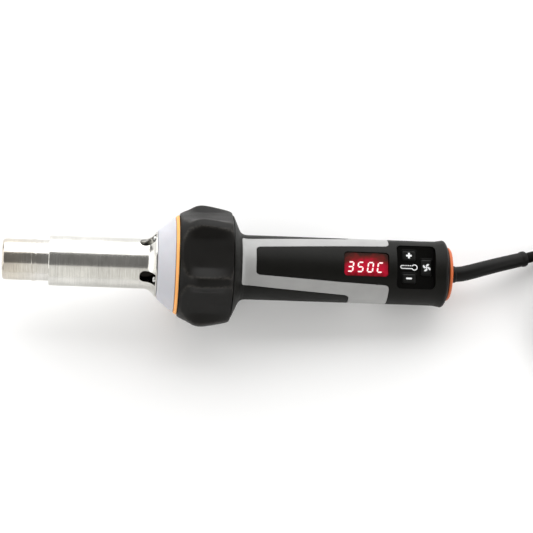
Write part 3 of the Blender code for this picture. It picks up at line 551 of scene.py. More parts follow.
# Dark and light colour, how the noise is stretched into strokes (not at all for brass), the range of its
# roughness, and its depth
metals = {
    "brushedSteel": ((0.52, 0.51, 0.48), (0.75, 0.74, 0.70), (6.0, 0.05, 0.05), (0.13, 0.24), 0.004),
    "heatTintedShadedSteel": ((0.51, 0.495, 0.465), (0.73, 0.715, 0.68), (5.0, 0.05, 0.05), (0.12, 0.24), 0.004),
    "screwZinc": ((0.55, 0.55, 0.54), (0.74, 0.74, 0.72), (2.0, 2.0, 2.0), (0.16, 0.3), 0.004),
    "heatingWire": ((0.20, 0.15, 0.13), (0.42, 0.36, 0.33), (0.6, 3.0, 3.0), (0.35, 0.55), 0.01),
    "motorIron": ((0.12, 0.12, 0.125), (0.27, 0.27, 0.28), (2.0, 0.02, 0.02), (0.35, 0.55), 0.05),
    "copperWinding": ((0.52, 0.19, 0.08), (0.80, 0.40, 0.22), (0.1, 2.5, 2.5), (0.22, 0.4), 0.08),
    "bearingSteel": ((0.52, 0.52, 0.53), (0.72, 0.72, 0.72), (1.5, 0.1, 0.1), (0.18, 0.3), 0.005),
    "aluminiumFin": ((0.56, 0.56, 0.58), (0.78, 0.78, 0.8), (0.1, 3.0, 0.1), (0.28, 0.42), 0.01),
    "brass": ((0.58, 0.42, 0.17), (0.78, 0.6, 0.3), None, (0.22, 0.36), 0.006),
    "pinNickel": ((0.60, 0.57, 0.50), (0.76, 0.73, 0.66), (1.2, 0.15, 1.2), (0.16, 0.28), 0.004),
}
# The tint along the heater tube, over the first mm of the tool: heat tint near the mouth, then painted shade that
# falls to near black where the tube lies inside the cooling sleeve
heatTintAndShade = {
    "reach": 110.0,
    "stops": [(0.0, (0.84, 0.79, 0.73)), (0.1, (0.92, 0.88, 0.81)), (0.3, (1.0, 1.0, 1.0)),
              (0.55, (0.8, 0.78, 0.75)), (0.8, (0.02, 0.018, 0.017))],
}
# The window's colours from its lower side to its upper one, and how far its glow changes. The dark last stops at
# its upper side are painted shade along its upper edge
lens = {
    "stops": [(0.0, (0.13, 0.001, 0.005)), (0.3, (0.40, 0.003, 0.022)), (0.55, (0.33, 0.004, 0.020)),
              (0.8, (0.12, 0.010, 0.009)), (1.0, (0.035, 0.012, 0.009))],
    "middle": 276.15,
    "halfLong": 16.5,
    "halfWide": 9.0,
    "drift": 2.2,
    "endFall": 4.0,
}


def boardFinish():
    # Green board: copper tracks under the lacquer, drawn by the edges of square cells
    finish, tree, shader = startFinish("circuitBoard")
    cells = addNode(tree, "TexVoronoi", {"Vector": toolSpace(tree), "Scale": 0.35}, distance="MANHATTAN",
                    feature="DISTANCE_TO_EDGE").outputs["Distance"]
    cloud = noise(tree, toolSpace(tree), 0.2)
    lacquer = colourRamp(tree, combine(tree, "ADD", cells, combine(tree, "MULTIPLY", cloud, 0.1)),
                         [(0.06, (0.05, 0.24, 0.1)), (0.12, (0.015, 0.12, 0.05)),
                          (0.5, (0.012, 0.10, 0.045))])
    fill(tree, shader, {"Base Color": lacquer, "Roughness": rescale(tree, cloud, 0.3, 0.45),
                        "Normal": relief(tree, cells, 0.03)})
    return finish


def lensFinish():
    # The red filter over the digits glows from the unit behind it, most near its lower side; along its upper edge
    # its colour turns near black, which is painted shade. The glow also falls towards its ends, with the sixth
    # power of the way there
    finish, tree, shader = startFinish("redLens")
    place = addNode(tree, "SeparateXYZ", {"Vector": toolSpace(tree)})
    cloud = noise(tree, toolSpace(tree), 0.18, 3.0)
    sideways = combine(tree, "SUBTRACT", place.outputs["X"], lens["middle"])
    sideways = combine(tree, "DIVIDE", sideways, lens["halfLong"])
    fall = combine(tree, "POWER", combine(tree, "MULTIPLY", sideways, sideways), 3.0)
    height = combine(tree, "ADD", place.outputs["Y"], rescale(tree, cloud, -lens["drift"], lens["drift"]))
    height = combine(tree, "ADD", height, combine(tree, "MULTIPLY", fall, lens["endFall"]))
    height = rescale(tree, height, 0.0, 1.0, -lens["halfWide"], lens["halfWide"])
    # the ramp's darkest stops at the upper side are painted shade along the window's upper edge
    glow = colourRamp(tree, height, lens["stops"])
    gloss = rescale(tree, noise(tree, toolSpace(tree), 1.5, 4.0), 0.07, 0.14)
    fill(tree, shader, {"Base Color": glow, "Emission Color": glow, "Emission Strength": 0.13,
                        "Roughness": gloss, "Coat Weight": 0.2, "Specular IOR Level": 0.3,
                        "Coat Roughness": 0.03})
    return finish


def litFinish():
    # Lit digits: pinkish white, a little uneven along each bar
    finish, tree, shader = startFinish("litDigits")
    glow = colourRamp(tree, noise(tree, toolSpace(tree), 0.9, 2.0),
                      [(0.3, (0.86, 0.56, 0.56)), (0.7, (0.92, 0.74, 0.72))])
    gloss = rescale(tree, noise(tree, toolSpace(tree), 2.0), 0.3, 0.45)
    fill(tree, shader, {"Base Color": glow, "Emission Color": glow, "Emission Strength": 0.45,
                        "Roughness": gloss})
    return finish


finishes = {name: mouldedFinish(name, look) for name, look in moulded.items()}
finishes.update({name: metalFinish(name, look) for name, look in metals.items()})
finishes["circuitBoard"] = boardFinish()
finishes["redLens"] = lensFinish()
finishes["litDigits"] = litFinish()
slotFinishes = {
    "steel": "heatTintedShadedSteel", "zinc_screw": "screwZinc", "mica": "mica", "ceramic": "whiteCeramic",
    "heating_wire": "heatingWire", "pale_plastic": "palePlastic", "orange_seal": "orangeSilicone",
    "orange_plastic": "orangePlastic", "black_rubber": "ringRubber", "cord_rubber": "cordRubber",
    "charcoal_grip": "softGrip", "light_grey": "inlayGrey", "red_lens": "redLens", "black_gloss": "blackGloss",
    "black_keys": "keyRubber", "black_nylon": "blackNylon", "circuit_board": "circuitBoard",
    "aluminium": "aluminiumFin", "white_plastic": "whitePlastic", "motor_iron": "motorIron",
    "copper": "copperWinding", "bearing_steel": "bearingSteel", "brass": "brass", "felt": "filterFelt",
}
slots = {subpart["node"]: subpart["material_slot"] for subpart in frame["record"]["subparts"]}
for node, slot in slots.items():
    materials = frame["nodes"][node].data.materials
    if not materials:
        materials.append(None)
    for place in range(len(materials)):
        materials[place] = finishes[slotFinishes[slot]]
print("finishes made:", len(finishes))


# Mains lead: boot, lead, plug and pins. These come first, with the camera

lead = {
    "radius": 4.25,
    "bootRoute": ((176.2, 0.1, 24.8), (182.0, 0.9, 24.2), (190.0, 3.2, 23.1), (200.0, 6.4, 21.3),
                  (210.0, 9.7, 18.7), (221.0, 13.2, 15.3), (232.0, 16.8, 11.6)),
    "freeRoute": ((240.0, 19.5, 9.2), (248.0, 22.2, 7.2), (256.0, 24.8, 5.6), (262.0, 26.6, 4.8),
                  (272.0, 29.6, 4.3), (283.0, 32.0, 4.25), (294.0, 33.3, 4.25)),
    "exit": (0.2323, 0.0169, 0.0115),
    "coilCentre": (306.0, -22.0),
    "coilRadius": 47.0,
    "layers": 3,
    "turnsAcross": 3,
    "pointsPerTurn": 24,
    "crossOver": 95.0,       # degrees over which one turn steps across to the next
    "tailStart": 90.0,
    "tailSweep": 100.0,
    "plugHigh": 26.0,
}


def coilPoints():
    # Clockwise turns seen from above. Layer by layer, the radius steps in by a diameter a turn, then out
    # again, and every step is a smooth one over the last stretch of its turn; between layers the height
    # steps instead
    across, perTurn = lead["turnsAcross"], lead["pointsPerTurn"]
    turns = across * lead["layers"]
    turn = np.arange(turns * perTurn + 1) / perTurn
    whole = np.minimum(turn.astype(int), turns - 1)
    layer, lane = np.divmod(np.arange(turns + 1), across)
    lane = np.where(layer % 2 == 0, lane, across - 1 - lane)
    layer[-1], lane[-1] = lead["layers"], 1
    radii = lead["coilRadius"] + (1 - lane) * 2 * lead["radius"]
    heights = lead["radius"] + layer * 2 * lead["radius"]
    heights[-1] = lead["layers"] * 2 * lead["radius"] + 0.3 + lead["radius"]
    change = smoothStep(turn - whole, 1 - lead["crossOver"] / 360, 1.0)
    radius = radii[whole] + (radii[whole + 1] - radii[whole]) * change
    height = heights[whole] + (heights[whole + 1] - heights[whole]) * change
    angle = np.radians(90 - 360 * turn)
    return np.stack([lead["coilCentre"][0] + radius * np.cos(angle),
                     lead["coilCentre"][1] + radius * np.sin(angle), height], 1)


def tailPoints():
    # On round the top of the coil, rising to the middle of the plug over its second half
    share = np.linspace(0, 1, 21)
    angle = np.radians(lead["tailStart"] - lead["tailSweep"] * share)
    low = lead["layers"] * 2 * lead["radius"] + 0.3 + lead["radius"]
    high = lead["layers"] * 2 * lead["radius"] + 0.3 + lead["plugHigh"] / 2
    return np.stack([lead["coilCentre"][0] + lead["coilRadius"] * np.cos(angle),
                     lead["coilCentre"][1] + lead["coilRadius"] * np.sin(angle),
                     low + (high - low) * smoothStep(share, 0.5, 1.0)], 1)


def tube(path, radii, sides=40):
    # Circles square to a path, each at its own point with its own radius
    path = np.asarray(path, float)
    ahead = np.gradient(path, axis=0)
    ahead /= np.linalg.norm(ahead, axis=1, keepdims=True)
    across = np.cross([0.0, 0.0, 1.0], ahead)
    across /= np.linalg.norm(across, axis=1, keepdims=True)
    above = np.cross(ahead, across)
    angle = np.linspace(0, 2 * math.pi, sides, endpoint=False)
    radii = np.asarray(radii, float)[:, None, None]
    return path[:, None] + radii * (across[:, None] * np.cos(angle)[None, :, None]
                                    + above[:, None] * np.sin(angle)[None, :, None])


def makeBoot():
    # The strain relief: its radius along the route is a collar, a slow taper and a bead, then it turns in
    # and goes back a little way round the lead
    onAxis = (inRow([[343.7, 0, 0], [347.0, 0, 0]]) / mm).tolist()
    path = smoothPath(onAxis + list(lead["bootRoute"]), 14)
    gone = np.concatenate([[0], np.cumsum(np.linalg.norm(np.diff(path, axis=0), axis=1))])
    left = gone[-1] - gone
    radius = 6.0 - 0.5 * gone / gone[-1]
    radius += 0.6 * (1 - smoothStep(gone, 4.2, 5.2)) + 0.6 * (1 - smoothStep(left, 3.2, 4.0))
    radius -= 0.35 * (1 - smoothStep(left, 0.0, 0.5)) + 0.5 * (1 - smoothStep(gone, 0.0, 0.6))
    inner = tube(path[[-1, -4, -8]], [4.7, 4.45, 4.4])
    points, faces = lofted(np.concatenate([tube(path, radius), inner]))
    return makePiece("strainRelief", [(points * mm, faces)], "bootRubber", "cord_boot")


plug = {
    "stations": (0, 9, 15, 22, 27, 38),
    "wide": (10.6, 12.4, 19, 31, 35, 35.3),
    "high": (10.6, 12, 18, 24.5, 26, 26),
    "pinStations": (38.3, 38.4, 47.0, 47.2, 47.6, 48.0, 55.4, 56.2, 56.7, 57.0),
    "pinRadii": (2.3, 2.4, 2.4, 2.3, 2.3, 2.4, 2.4, 2.1, 1.6, 0.8),
    "pinSide": 9.5,
}


def makePlug(start, heading):
    # Moulded plug: a ribbed neck, a widening grip with shallow finger ribs, and a flat face. Its sections
    # are rounded boxes, whose sides are powers of the angle's cosine and sine: the power falls from that of
    # a circle
    turn = np.array([[heading[0], heading[1], 0], [-heading[1], heading[0], 0], [0, 0, 1]])
    along = np.concatenate([[0, 0.5], spread(1.0, 37.2, 0.45), [37.6, 37.9, 38.0]])
    wide, high = (np.interp(along, plug["stations"], plug[side]) for side in ("wide", "high"))
    for side in (wide, high):
        side[8:-8] = np.convolve(side, np.ones(9) / 9, "same")[8:-8]
    neck = np.maximum(0, np.sin(2 * math.pi * along / 2.6)) * (along < 10.0) * (along > 1.0)
    ribs = np.maximum(0, np.sin(2 * math.pi * (along - 26) / 2.4)) * (along > 26.4) * (along < 35.0)
    wide -= 1.1 * neck + 0.9 * ribs + 0.8 * (along < 0.4) + 0.7 * (along > 37.7) + 0.8 * (along > 37.95)
    high -= 1.1 * neck + 0.8 * (along < 0.4) + 0.7 * (along > 37.7) + 0.8 * (along > 37.95)
    power = 2 / (2 + 1.1 * smoothStep(along, 9, 22))[:, None]
    angle = np.linspace(0, 2 * math.pi, 112, endpoint=False)
    sides = [whole[:, None] / 2 * np.sign(curve) * np.abs(curve) ** power
             for whole, curve in ((wide, np.cos(angle)), (high, np.sin(angle)))]
    sections = np.stack([np.broadcast_to(along[:, None], sides[0].shape), *sides], -1)
    points, faces = lofted(start + sections @ turn)
    pieces = [makePiece("plugBody", [(points * mm, faces)], "cordRubber", "plug_body", sharp=50)]
    reach, thick = (np.array(plug[value])[:, None] for value in ("pinStations", "pinRadii"))
    angle = np.linspace(0, 2 * math.pi, 36, endpoint=False)
    for number, side in enumerate((1, -1), 1):
        rounds = np.stack([np.broadcast_to(reach, (len(reach), len(angle))),
                           side * plug["pinSide"] + thick * np.cos(angle), thick * np.sin(angle)], -1)
        points, faces = lofted(start + rounds @ turn)
        pieces.append(makePiece(f"plugPin{number}", [(points * mm, faces)], "pinNickel", f"plug_pin_{number}",
                                sharp=50))
    return pieces


def makeLead():
    boot = makeBoot()
    tail = tailPoints()
    heading = tail[-1] - tail[-2]
    heading[2] = 0
    heading /= np.linalg.norm(heading)
    plugPieces = makePlug(tail[-1] + 0.45 * heading, heading)
    start = np.array(lead["bootRoute"][-1])
    back = start - np.array(lead["bootRoute"][-2])
    run = np.array([start - back * 0.12, np.array(lead["exit"]) / mm, *lead["freeRoute"]])
    points = np.concatenate([smoothPath(run, 3), coilPoints()[1:], tail[1:], [tail[-1] + heading * 0.4]]) * mm
    curve = bpy.data.curves.new("mainsLead", "CURVE")
    curve.dimensions = "3D"
    curve.bevel_depth = lead["radius"] * mm
    curve.bevel_resolution = 6
    curve.use_fill_caps = True
    spline = curve.splines.new("POLY")
    spline.points.add(len(points) - 1)
    spline.points.foreach_set("co", np.column_stack([points, np.ones(len(points))]).ravel())
    curve.materials.append(finishes["cordRubber"])
    flex = bpy.data.objects.new("mainsLead", curve)
    bpy.context.scene.collection.objects.link(flex)
    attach(flex, "housing")
    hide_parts("mains_cord", "cord_coil", "cord_tail")


makeLead()


# Hot end: heater tube, cooling sleeve and its screws

hotEnd = {
    "tubeRadius": 15.75,
    "tubeWall": 0.8,
    "tubeLength": 123.0,
    "beadAt": 24.0,
    "crimps": 6,
    "sleeveStart": 35.3,
    "sleeveRadius": 19.25,
    "flangeAt": 117.0,
    "flangeRadius": 25.0,
    "slotStart": 104.0,
    "slotEnd": 115.9,
    "slotHalf": 4.8,
    "screwCircle": 22.2,
    "screwAt": 115.75,
    "screwAngles": (45, 135, 225, 315),
    "screwSizes": (2.1, 2.0, 1.2, 3.0),    # the head's radius and height, the shank's radius and length
}


def makeHeaterTube():
    # A thin turned wall with a rolled mouth and a raised bead, pinched at even spaces round the bead
    radius, wall, bead = hotEnd["tubeRadius"], hotEnd["tubeWall"], hotEnd["beadAt"]
    corners = [(0, 14), (0.5, 15), (1.4, 15.6), (2.6, radius), (bead - 2.2, radius), (bead - 0.9, 16.25),
               (bead + 0.9, 16.25), (bead + 2.2, radius), (70, radius), (hotEnd["tubeLength"], radius),
               (hotEnd["tubeLength"], radius - wall), (70, radius - wall), (2.6, radius - wall), (1.2, 14.35),
               (0, 12.9)]
    reach = [0.3, 0.6, 0.7, 0.8, 0.8, 0.7, 0.7, 0.8, 1, 0.3, 0.3, 1, 0.9, 0.8, 0.3]

    def pinch(points):
        angle = np.arctan2(points[..., 1], points[..., 2])
        around = np.hypot(points[..., 1], points[..., 2])
        step = 2 * math.pi / hotEnd["crimps"]
        away = (np.mod(angle + math.radians(14), step) - step / 2) * radius
        dent = 0.42 * np.exp(-((points[..., 0] - bead) / 1.3) ** 2 - (away / 1.5) ** 2)
        scale = (around - dent) / around
        return np.stack([points[..., 0], points[..., 1] * scale, points[..., 2] * scale], -1)

    profile = softened(corners, reach, 4)
    makePiece("heaterTube", [ringShape(profile, 300, pinch)], "heatTintedShadedSteel", "heater_tube", sharp=60)


def sleeveRadiusAt(along):
    # Straight, then flared like a bell: the flare is a power of the way along it
    share = np.clip((along - 107.0) / 9.0, 0, 1)
    mouth = np.clip((hotEnd["sleeveStart"] + 0.6 - along) / 0.6, 0, 1)
    return hotEnd["sleeveRadius"] + 5.75 * share ** 2.3 - 0.35 * mouth ** 2


def makeCoolingSleeve():
    # The bell-mouthed outer tube: a wall whose points are cut away where a round-ended slot comes,
    # four times round, and a flat ring across the back of the bell
    along = np.concatenate([[35.3, 35.4, 35.6, 35.9], spread(40, 100, 6), spread(100.6, 116.0, 0.42)])
    arc = np.linspace(0, 2 * math.pi, 337) * hotEnd["sleeveRadius"]
    slot = softened([(hotEnd["slotStart"], -hotEnd["slotHalf"]), (hotEnd["slotStart"], hotEnd["slotHalf"]),
                     (hotEnd["slotEnd"], hotEnd["slotHalf"]), (hotEnd["slotEnd"], -hotEnd["slotHalf"])],
                    [4.7, 4.7, 0.5, 0.5], 10)

    def slotDistance(x, y):
        angle = y / hotEnd["sleeveRadius"]
        away = np.mod(angle, math.pi / 2) - math.pi / 4
        return outlineDistance(x, sleeveRadiusAt(x) * np.sin(away), slot)

    x, y = crossGrid(along, arc)
    x, y, side = snapped(x, y, slotDistance)
    faces = facesWhere(side, *x.shape)
    angle = y / hotEnd["sleeveRadius"]
    radius = sleeveRadiusAt(x)
    outer = aroundAxis(x, radius, angle).reshape(-1, 3)
    lean = smoothStep(x, 108, 116)
    inner = aroundAxis(x + 0.7 * lean, radius - 0.8 + 0.15 * lean, angle).reshape(-1, 3)
    points, faces = walled([(outer, seamJoined(faces, x.shape))], inner)
    back, rim = hotEnd["flangeAt"], hotEnd["flangeRadius"]
    ring = softened([(116.1, 16.6), (116.1, 22.6), (116.0, 24.7), (116.3, rim), (back, rim), (back, 16.6)],
                    [0.1, 0.3, 0.2, 0.2, 0.2, 0.1], 3)
    makePiece("coolingSleeve", [(inRow(points), faces), ringShape(ring, 160)], "brushedSteel",
              "cooling_sleeve", bevel=0.18, sharp=40)


def crossHead(name, centre, direction, sizes, replaced):
    # A domed screw head with a cross recess: its height over the disc is a dome, less a sunk cross
    radius, height, shank, length = sizes
    rho = np.concatenate([np.linspace(0, 0.92, 16), [0.96, 1.0]]) * radius
    angle = np.linspace(0, 2 * math.pi, 72, endpoint=False)
    r, a = crossGrid(rho, angle)
    x, y = r * np.cos(a), r * np.sin(a)
    thin = np.minimum(np.abs(x), np.abs(y))
    recess = 0.5 * height * (1 - smoothStep(thin, 0.14 * radius, 0.22 * radius))
    recess *= 1 - smoothStep(r, 0.62 * radius, 0.72 * radius)
    top = height * (1 - 0.32 * (r / radius) ** 4) - recess
    dome = np.stack([x, y, top], -1)[::-1]
    steps = [(radius, 0.0), (radius * 0.97, -0.05), (shank, -0.05), (shank, -length + 0.5),
             (shank * 0.6, -length)]
    under = np.array([np.stack([k * np.cos(angle), k * np.sin(angle), np.full(72, z)], 1) for k, z in steps])
    sections = np.concatenate([under[::-1], dome[:-1]])
    points, faces = lofted(sections)
    points[-1] = dome[-1, 0]
    direction = np.asarray(direction, float)
    side = np.cross([0.0, 1.0, 0.0], direction)
    side /= np.linalg.norm(side)
    turn = np.stack([side, np.cross(direction, side), direction])
    makePiece(name, [(inRow(np.asarray(centre) + points @ turn), faces)], "screwZinc", replaced, sharp=40)


def makeFlangeScrews():
    for number, degrees in enumerate(hotEnd["screwAngles"], 1):
        centre = aroundAxis(hotEnd["screwAt"], hotEnd["screwCircle"], math.radians(degrees))
        crossHead(f"flangeScrew{number}", centre, (-1, 0, 0), hotEnd["screwSizes"], f"flange_screw_{number}")


makeHeaterTube()
makeCoolingSleeve()
makeFlangeScrews()
print("hot end made")


# Head: pale nose ring, orange seal and the rubber ring

head = {
    "nose": [(117.3, 16.1), (117.3, 25.6), (118.4, 27.1), (130.0, 36.5), (130.4, 36.5), (130.4, 34.4),
             (141, 34.4), (141, 32.6), (130.5, 32.6), (121.5, 25.4), (120.8, 16.1)],
    "noseReach": [0.4, 1.2, 1.0, 0.35, 0.15, 0.4, 0.3, 0.3, 0.8, 1.5, 0.4],
    "seal": [(130.7, 34.8), (130.7, 36.7), (132.6, 38.2), (133.1, 38.1), (133.1, 34.8)],
    "sealReach": [0.2, 0.5, 0.5, 0.15, 0.2],
    "lobe": [(133.9, 39.4), (136.0, 40.9), (140.3, 43.5), (145.0, 46.1), (147.3, 47.0), (150.1, 47.5),
             (153.5, 47.4), (160.5, 46.3), (168.2, 44.7), (171.8, 43.8), (173.2, 42.9), (173.9, 41.4)],
    "ringBore": 37.5,
    "pockets": 6,
    "pocketFloor": 39.2,
    "pocketHalfFloor": 11.6,
    "pocketHalfAngle": 25.5,
    "pocketFront": (133.5, 136.2),
    "edgeRound": 0.8,
    "floorRound": 0.8,
}


def ringRadius(along, angle, lobe):
    # Lobes with flat-floored pockets: the pocket is the higher of a flat floor and a slanting wall, the
    # surface the lower of lobe and pocket, and each choice is a smooth one, half their sum plus or minus
    # half the root of their squared difference and a small squared width
    step = 2 * math.pi / head["pockets"]
    away = np.abs(np.mod(angle + step / 2, step) - step / 2)
    edge = math.radians(head["pocketHalfAngle"])
    low = np.array([head["pocketFloor"], head["pocketHalfFloor"]])
    wallX = np.maximum(lobe * math.cos(edge) - low[0], 0.0)
    wallY = lobe * math.sin(edge) - low[1]
    rayX, rayY = np.cos(away), np.sin(away)
    wall = (low[0] * wallY - low[1] * wallX) / np.maximum(rayX * wallY - rayY * wallX, 0.3)
    wall = np.where(rayX * wallY - rayY * wallX < 0.3, 80.0, wall)
    floor = head["pocketFloor"] / rayX
    pocket = (floor + wall + np.sqrt((floor - wall) ** 2 + head["floorRound"] ** 2 * 0.25)) / 2
    rounded = (lobe + pocket - np.sqrt((lobe - pocket) ** 2 + head["edgeRound"] ** 2)) / 2
    depth = smoothStep(along, *head["pocketFront"])
    nearness = np.exp(-((lobe - pocket) / 0.9) ** 2) * depth
    return np.minimum(lobe, lobe + depth * (rounded - lobe)), nearness


def makeRubberRing():
    profile = softened(head["lobe"], 1.3, 3, closed=False)
    along = np.concatenate([spread(133.9, 172.6, 0.62), spread(172.8, 173.9, 0.22)])
    lobe = np.interp(along, profile[:, 0], profile[:, 1])
    angle = np.linspace(0, 2 * math.pi, 720, endpoint=False)
    x, a = crossGrid(along, angle)
    radius, nearness = ringRadius(x, a, lobe[:, None])
    outer = aroundAxis(x, radius, a)
    bore = turned([(173.9, head["ringBore"]), (133.9, head["ringBore"])], 720)
    points = np.concatenate([outer, bore])
    edge = np.concatenate([nearness, np.zeros((2, 720))]).ravel()
    faces = [gridFaces(*points.shape[:2], True, True)]
    makePiece("rubberRing", [(inRow(points.reshape(-1, 3)), faces)], "ringRubber", "bumper_ring", sharp=50,
              edge=edge)


def makeHead():
    nose = ringShape(softened(head["nose"], head["noseReach"], 5), 220)
    seal = ringShape(softened(head["seal"], head["sealReach"], 4), 220)
    makePiece("noseRing", [nose], "palePlastic", "nose_ring", sharp=50)
    makePiece("frontSeal", [seal], "orangeSilicone", "front_seal", sharp=50)
    makeRubberRing()


makeHead()
print("head made")


# Housing: two half shells, split along the tool's sides, and their grey inlays

housing = {
    "handleRadius": 24.8,
    "split": 89.65,        # degrees from the panel's middle to each half's edge
    "outside": [(133.5, 37.2), (174.15, 37.2), (174.25, 39.9), (174.9, 39.0), (176.7, 35.2), (179.0, 30.0),
                (180.2, 27.6), (181.2, 26.28), (182.2, 25.72), (183.6, 25.08), (186.0, 24.8), (322.0, 24.8),
                (331.5, 24.95), (335.4, 25.6), (337.3, 26.0), (338.8, 25.2), (339.8, 23.6), (340.5, 21.9),
                (341.0, 20.9)],
    "inside": [(133.5, 34.8), (173.0, 34.8), (180.0, 24.6), (183.0, 22.8), (187.0, 22.4), (334.0, 22.4),
               (335.5, 21.4), (338.0, 16.0), (341.0, 16.0)],
    "inlayDepth": 1.2,
    "inlayGap": 0.3,
    # half of the inlay's outline: along, degrees from the middle, and how far its corner is rounded
    "inlay": [(181.2, 47, 3.2), (190.0, 48.2, 0.8), (264.5, 63.7, 4.9), (264.5, 96.0, 0.5),
              (294.1, 96.0, 0.5), (294.1, 38.5, 3.9), (259.0, 35, 3.0), (191.9, 26, 3.2)],
    "band": (264.5, 294.1, 96),            # the lower band: from, to, and the angle of its ends
    "window": (276.15, 34.5, 19.0, 2.9),
    "keypad": (314.6, 30.0, 34.0, 3.5),
    "rocker": (312.5, 22.6, 16.2, 0.9),
    "screwStations": (238.0, 331.0),
    "screwSide": 16.5,
    "screwUnder": -8.4,
    "screwHole": 2.2,
    "screwSizes": (1.9, 1.6, 1.2, 8.0),
    # how far past each opening its straight walls reach, and how high their lower ends are
    "windowWalls": (1.6, 19.4),
    "keypadWalls": (1.6, 14.6),
    "rockerWalls": (1.4, 20.4),
    "screwWalls": (1.4, 10.2),
}


def outerRadius(along):
    # The housing's turned profile, straight between its points
    profile = housing["smoothOutside"]
    return np.interp(along, profile[:, 0], profile[:, 1])


def arcOf(degrees):
    # Length along the handle's round: its radius times the angle
    return math.radians(degrees) * housing["handleRadius"]


def inlayOutline():
    # The panel side's grey shape, in mm along and mm round, both halves
    half = [(along, arcOf(degrees), reach) for along, degrees, reach in housing["inlay"]]
    corners = [(x, y) for x, y, reach in half] + [(x, -y) for x, y, reach in reversed(half)]
    reaches = [reach for x, y, reach in half]
    return softened(corners, reaches + reaches[::-1], 8)


def bandOutline():
    # A plain rectangle on the unrolled skin
    first, last, angle = housing["band"]
    side = arcOf(angle)
    return np.array([(first, -side), (last, -side), (last, side), (first, side)])


def halfShell(name, upward, outline, openings, replaced):
    # Half of the housing on a grid of stations and arcs. Its outer skin follows the turned profile, sinks by
    # the inlay's depth inside the inlay's outline, and is missing at the openings. The inner skin follows the
    # bore, and runs straight down to a given height round each opening
    stations = np.concatenate([[133.5, 150.0, 172.5], spread(174.15, 186.0, 0.45), spread(186.8, 321.5, 0.85),
                               spread(322.2, 337.0, 0.7), spread(337.4, 341.0, 0.35)])
    rim = arcOf(housing["split"])
    arcs = spread(-rim, rim, 0.74)
    x, y = crossGrid(stations, arcs)
    grooveDistance = lambda s, a: outlineDistance(s, a, outline) - housing["inlayGap"]
    x, y, groove = snapped(x, y, grooveDistance)
    onRim = np.zeros(x.shape, bool)
    onRim[:, [0, -1]] = True
    y = np.where(onRim, np.sign(y) * rim, y)

    def openDistance(s, a):
        across = outerRadius(s) * np.sin(np.clip(a / housing["handleRadius"], -1.5, 1.5))
        return np.minimum.reduce([opening(s, across) for opening, _, _ in openings])

    x, y, side = snapped(x, y, openDistance)
    angle = y / housing["handleRadius"]
    radius = outerRadius(x)
    rows, columns = x.shape
    kept = facesWhere(side, rows, columns)
    low = [((groove.ravel()[part] <= 0).all(1)) for part in kept]
    top = [part[~under] for part, under in zip(kept, low)]
    sunk = [part[under] for part, under in zip(kept, low)]
    deep = radius - housing["inlayDepth"] - housing["inlayGap"]
    skin = lambda r: aroundAxis(x, r, angle).reshape(-1, 3)
    inside = np.interp(x, *np.array(housing["inside"]).T)
    shift = np.linspace(0, 1, rows)[:, None] * 0.02
    inner = aroundAxis(x + shift, inside, angle)
    across = radius * np.sin(angle)
    for opening, reach, depth in openings:
        near = opening(x, across) < reach
        straight = np.stack([x, across, np.full(x.shape, depth)], -1)
        inner = np.where(near[..., None], straight, inner)
    points, faces = walled([(skin(radius), top), (skin(deep), sunk)], inner.reshape(-1, 3))
    shape = (inRow(points * (1, upward, upward)), faces)
    makePiece(name, [shape], "softGrip", replaced, bevel=0.32, sharp=38)


def wrappedShape(outline, upward):
    # The grey inlay: the part of the handle's skin inside its outline, as thick as its groove is deep
    rim = arcOf(housing["split"])
    stations = spread(outline[:, 0].min() - 0.4, outline[:, 0].max() + 0.4, 0.7)
    arcs = spread(-rim, rim, 0.74)
    x, y = crossGrid(stations, arcs)
    x, y, side = snapped(x, y, lambda s, a: outlineDistance(s, a, outline))
    y[:, 0] = -rim
    y[:, -1] = rim
    faces = facesWhere(-side, *x.shape)
    angle = y / housing["handleRadius"]
    skin = lambda r: aroundAxis(x, r, angle).reshape(-1, 3)
    radius = outerRadius(x)
    points, faces = walled([(skin(radius), faces)], skin(radius - housing["inlayDepth"]))
    points = points * (1, upward, upward)
    return inRow(points), faces


def holeOpening(station, side):
    # Distance to a round hole: that to its centre less its radius
    return lambda x, y: np.hypot(x - station, y - side) - housing["screwHole"]


def makeHousing():
    housing["smoothOutside"] = softened(housing["outside"], 0.5, 3, closed=False)
    upper = [(slabDistance(housing["window"]), *housing["windowWalls"]),
             (slabDistance(housing["keypad"]), *housing["keypadWalls"])]
    halfShell("upperShell", 1, inlayOutline(), upper, "upper_shell")
    screws = [(station, side * housing["screwSide"])
              for station in housing["screwStations"] for side in (1, -1)]
    lower = [(slabDistance(housing["rocker"]), *housing["rockerWalls"])]
    lower += [(holeOpening(*place), *housing["screwWalls"]) for place in screws]
    halfShell("lowerShell", -1, bandOutline(), lower, "lower_shell")
    for name, outline, upward, node in (("upperInlay", inlayOutline(), 1, "upper_inlay"),
                                        ("lowerInlay", bandOutline(), -1, "lower_inlay")):
        makePiece(name, [wrappedShape(outline, upward)], "inlayGrey", node, bevel=0.28, sharp=38)
    for number, place in enumerate(screws, 1):
        crossHead(f"housingScrew{number}", (*place, housing["screwUnder"]), (0.0, 0.0, -1.0),
                  housing["screwSizes"], f"housing_screw_{number}")


makeHousing()
print("housing made")


# Panel: window with its digits, keypad plate, three keys and their printed signs

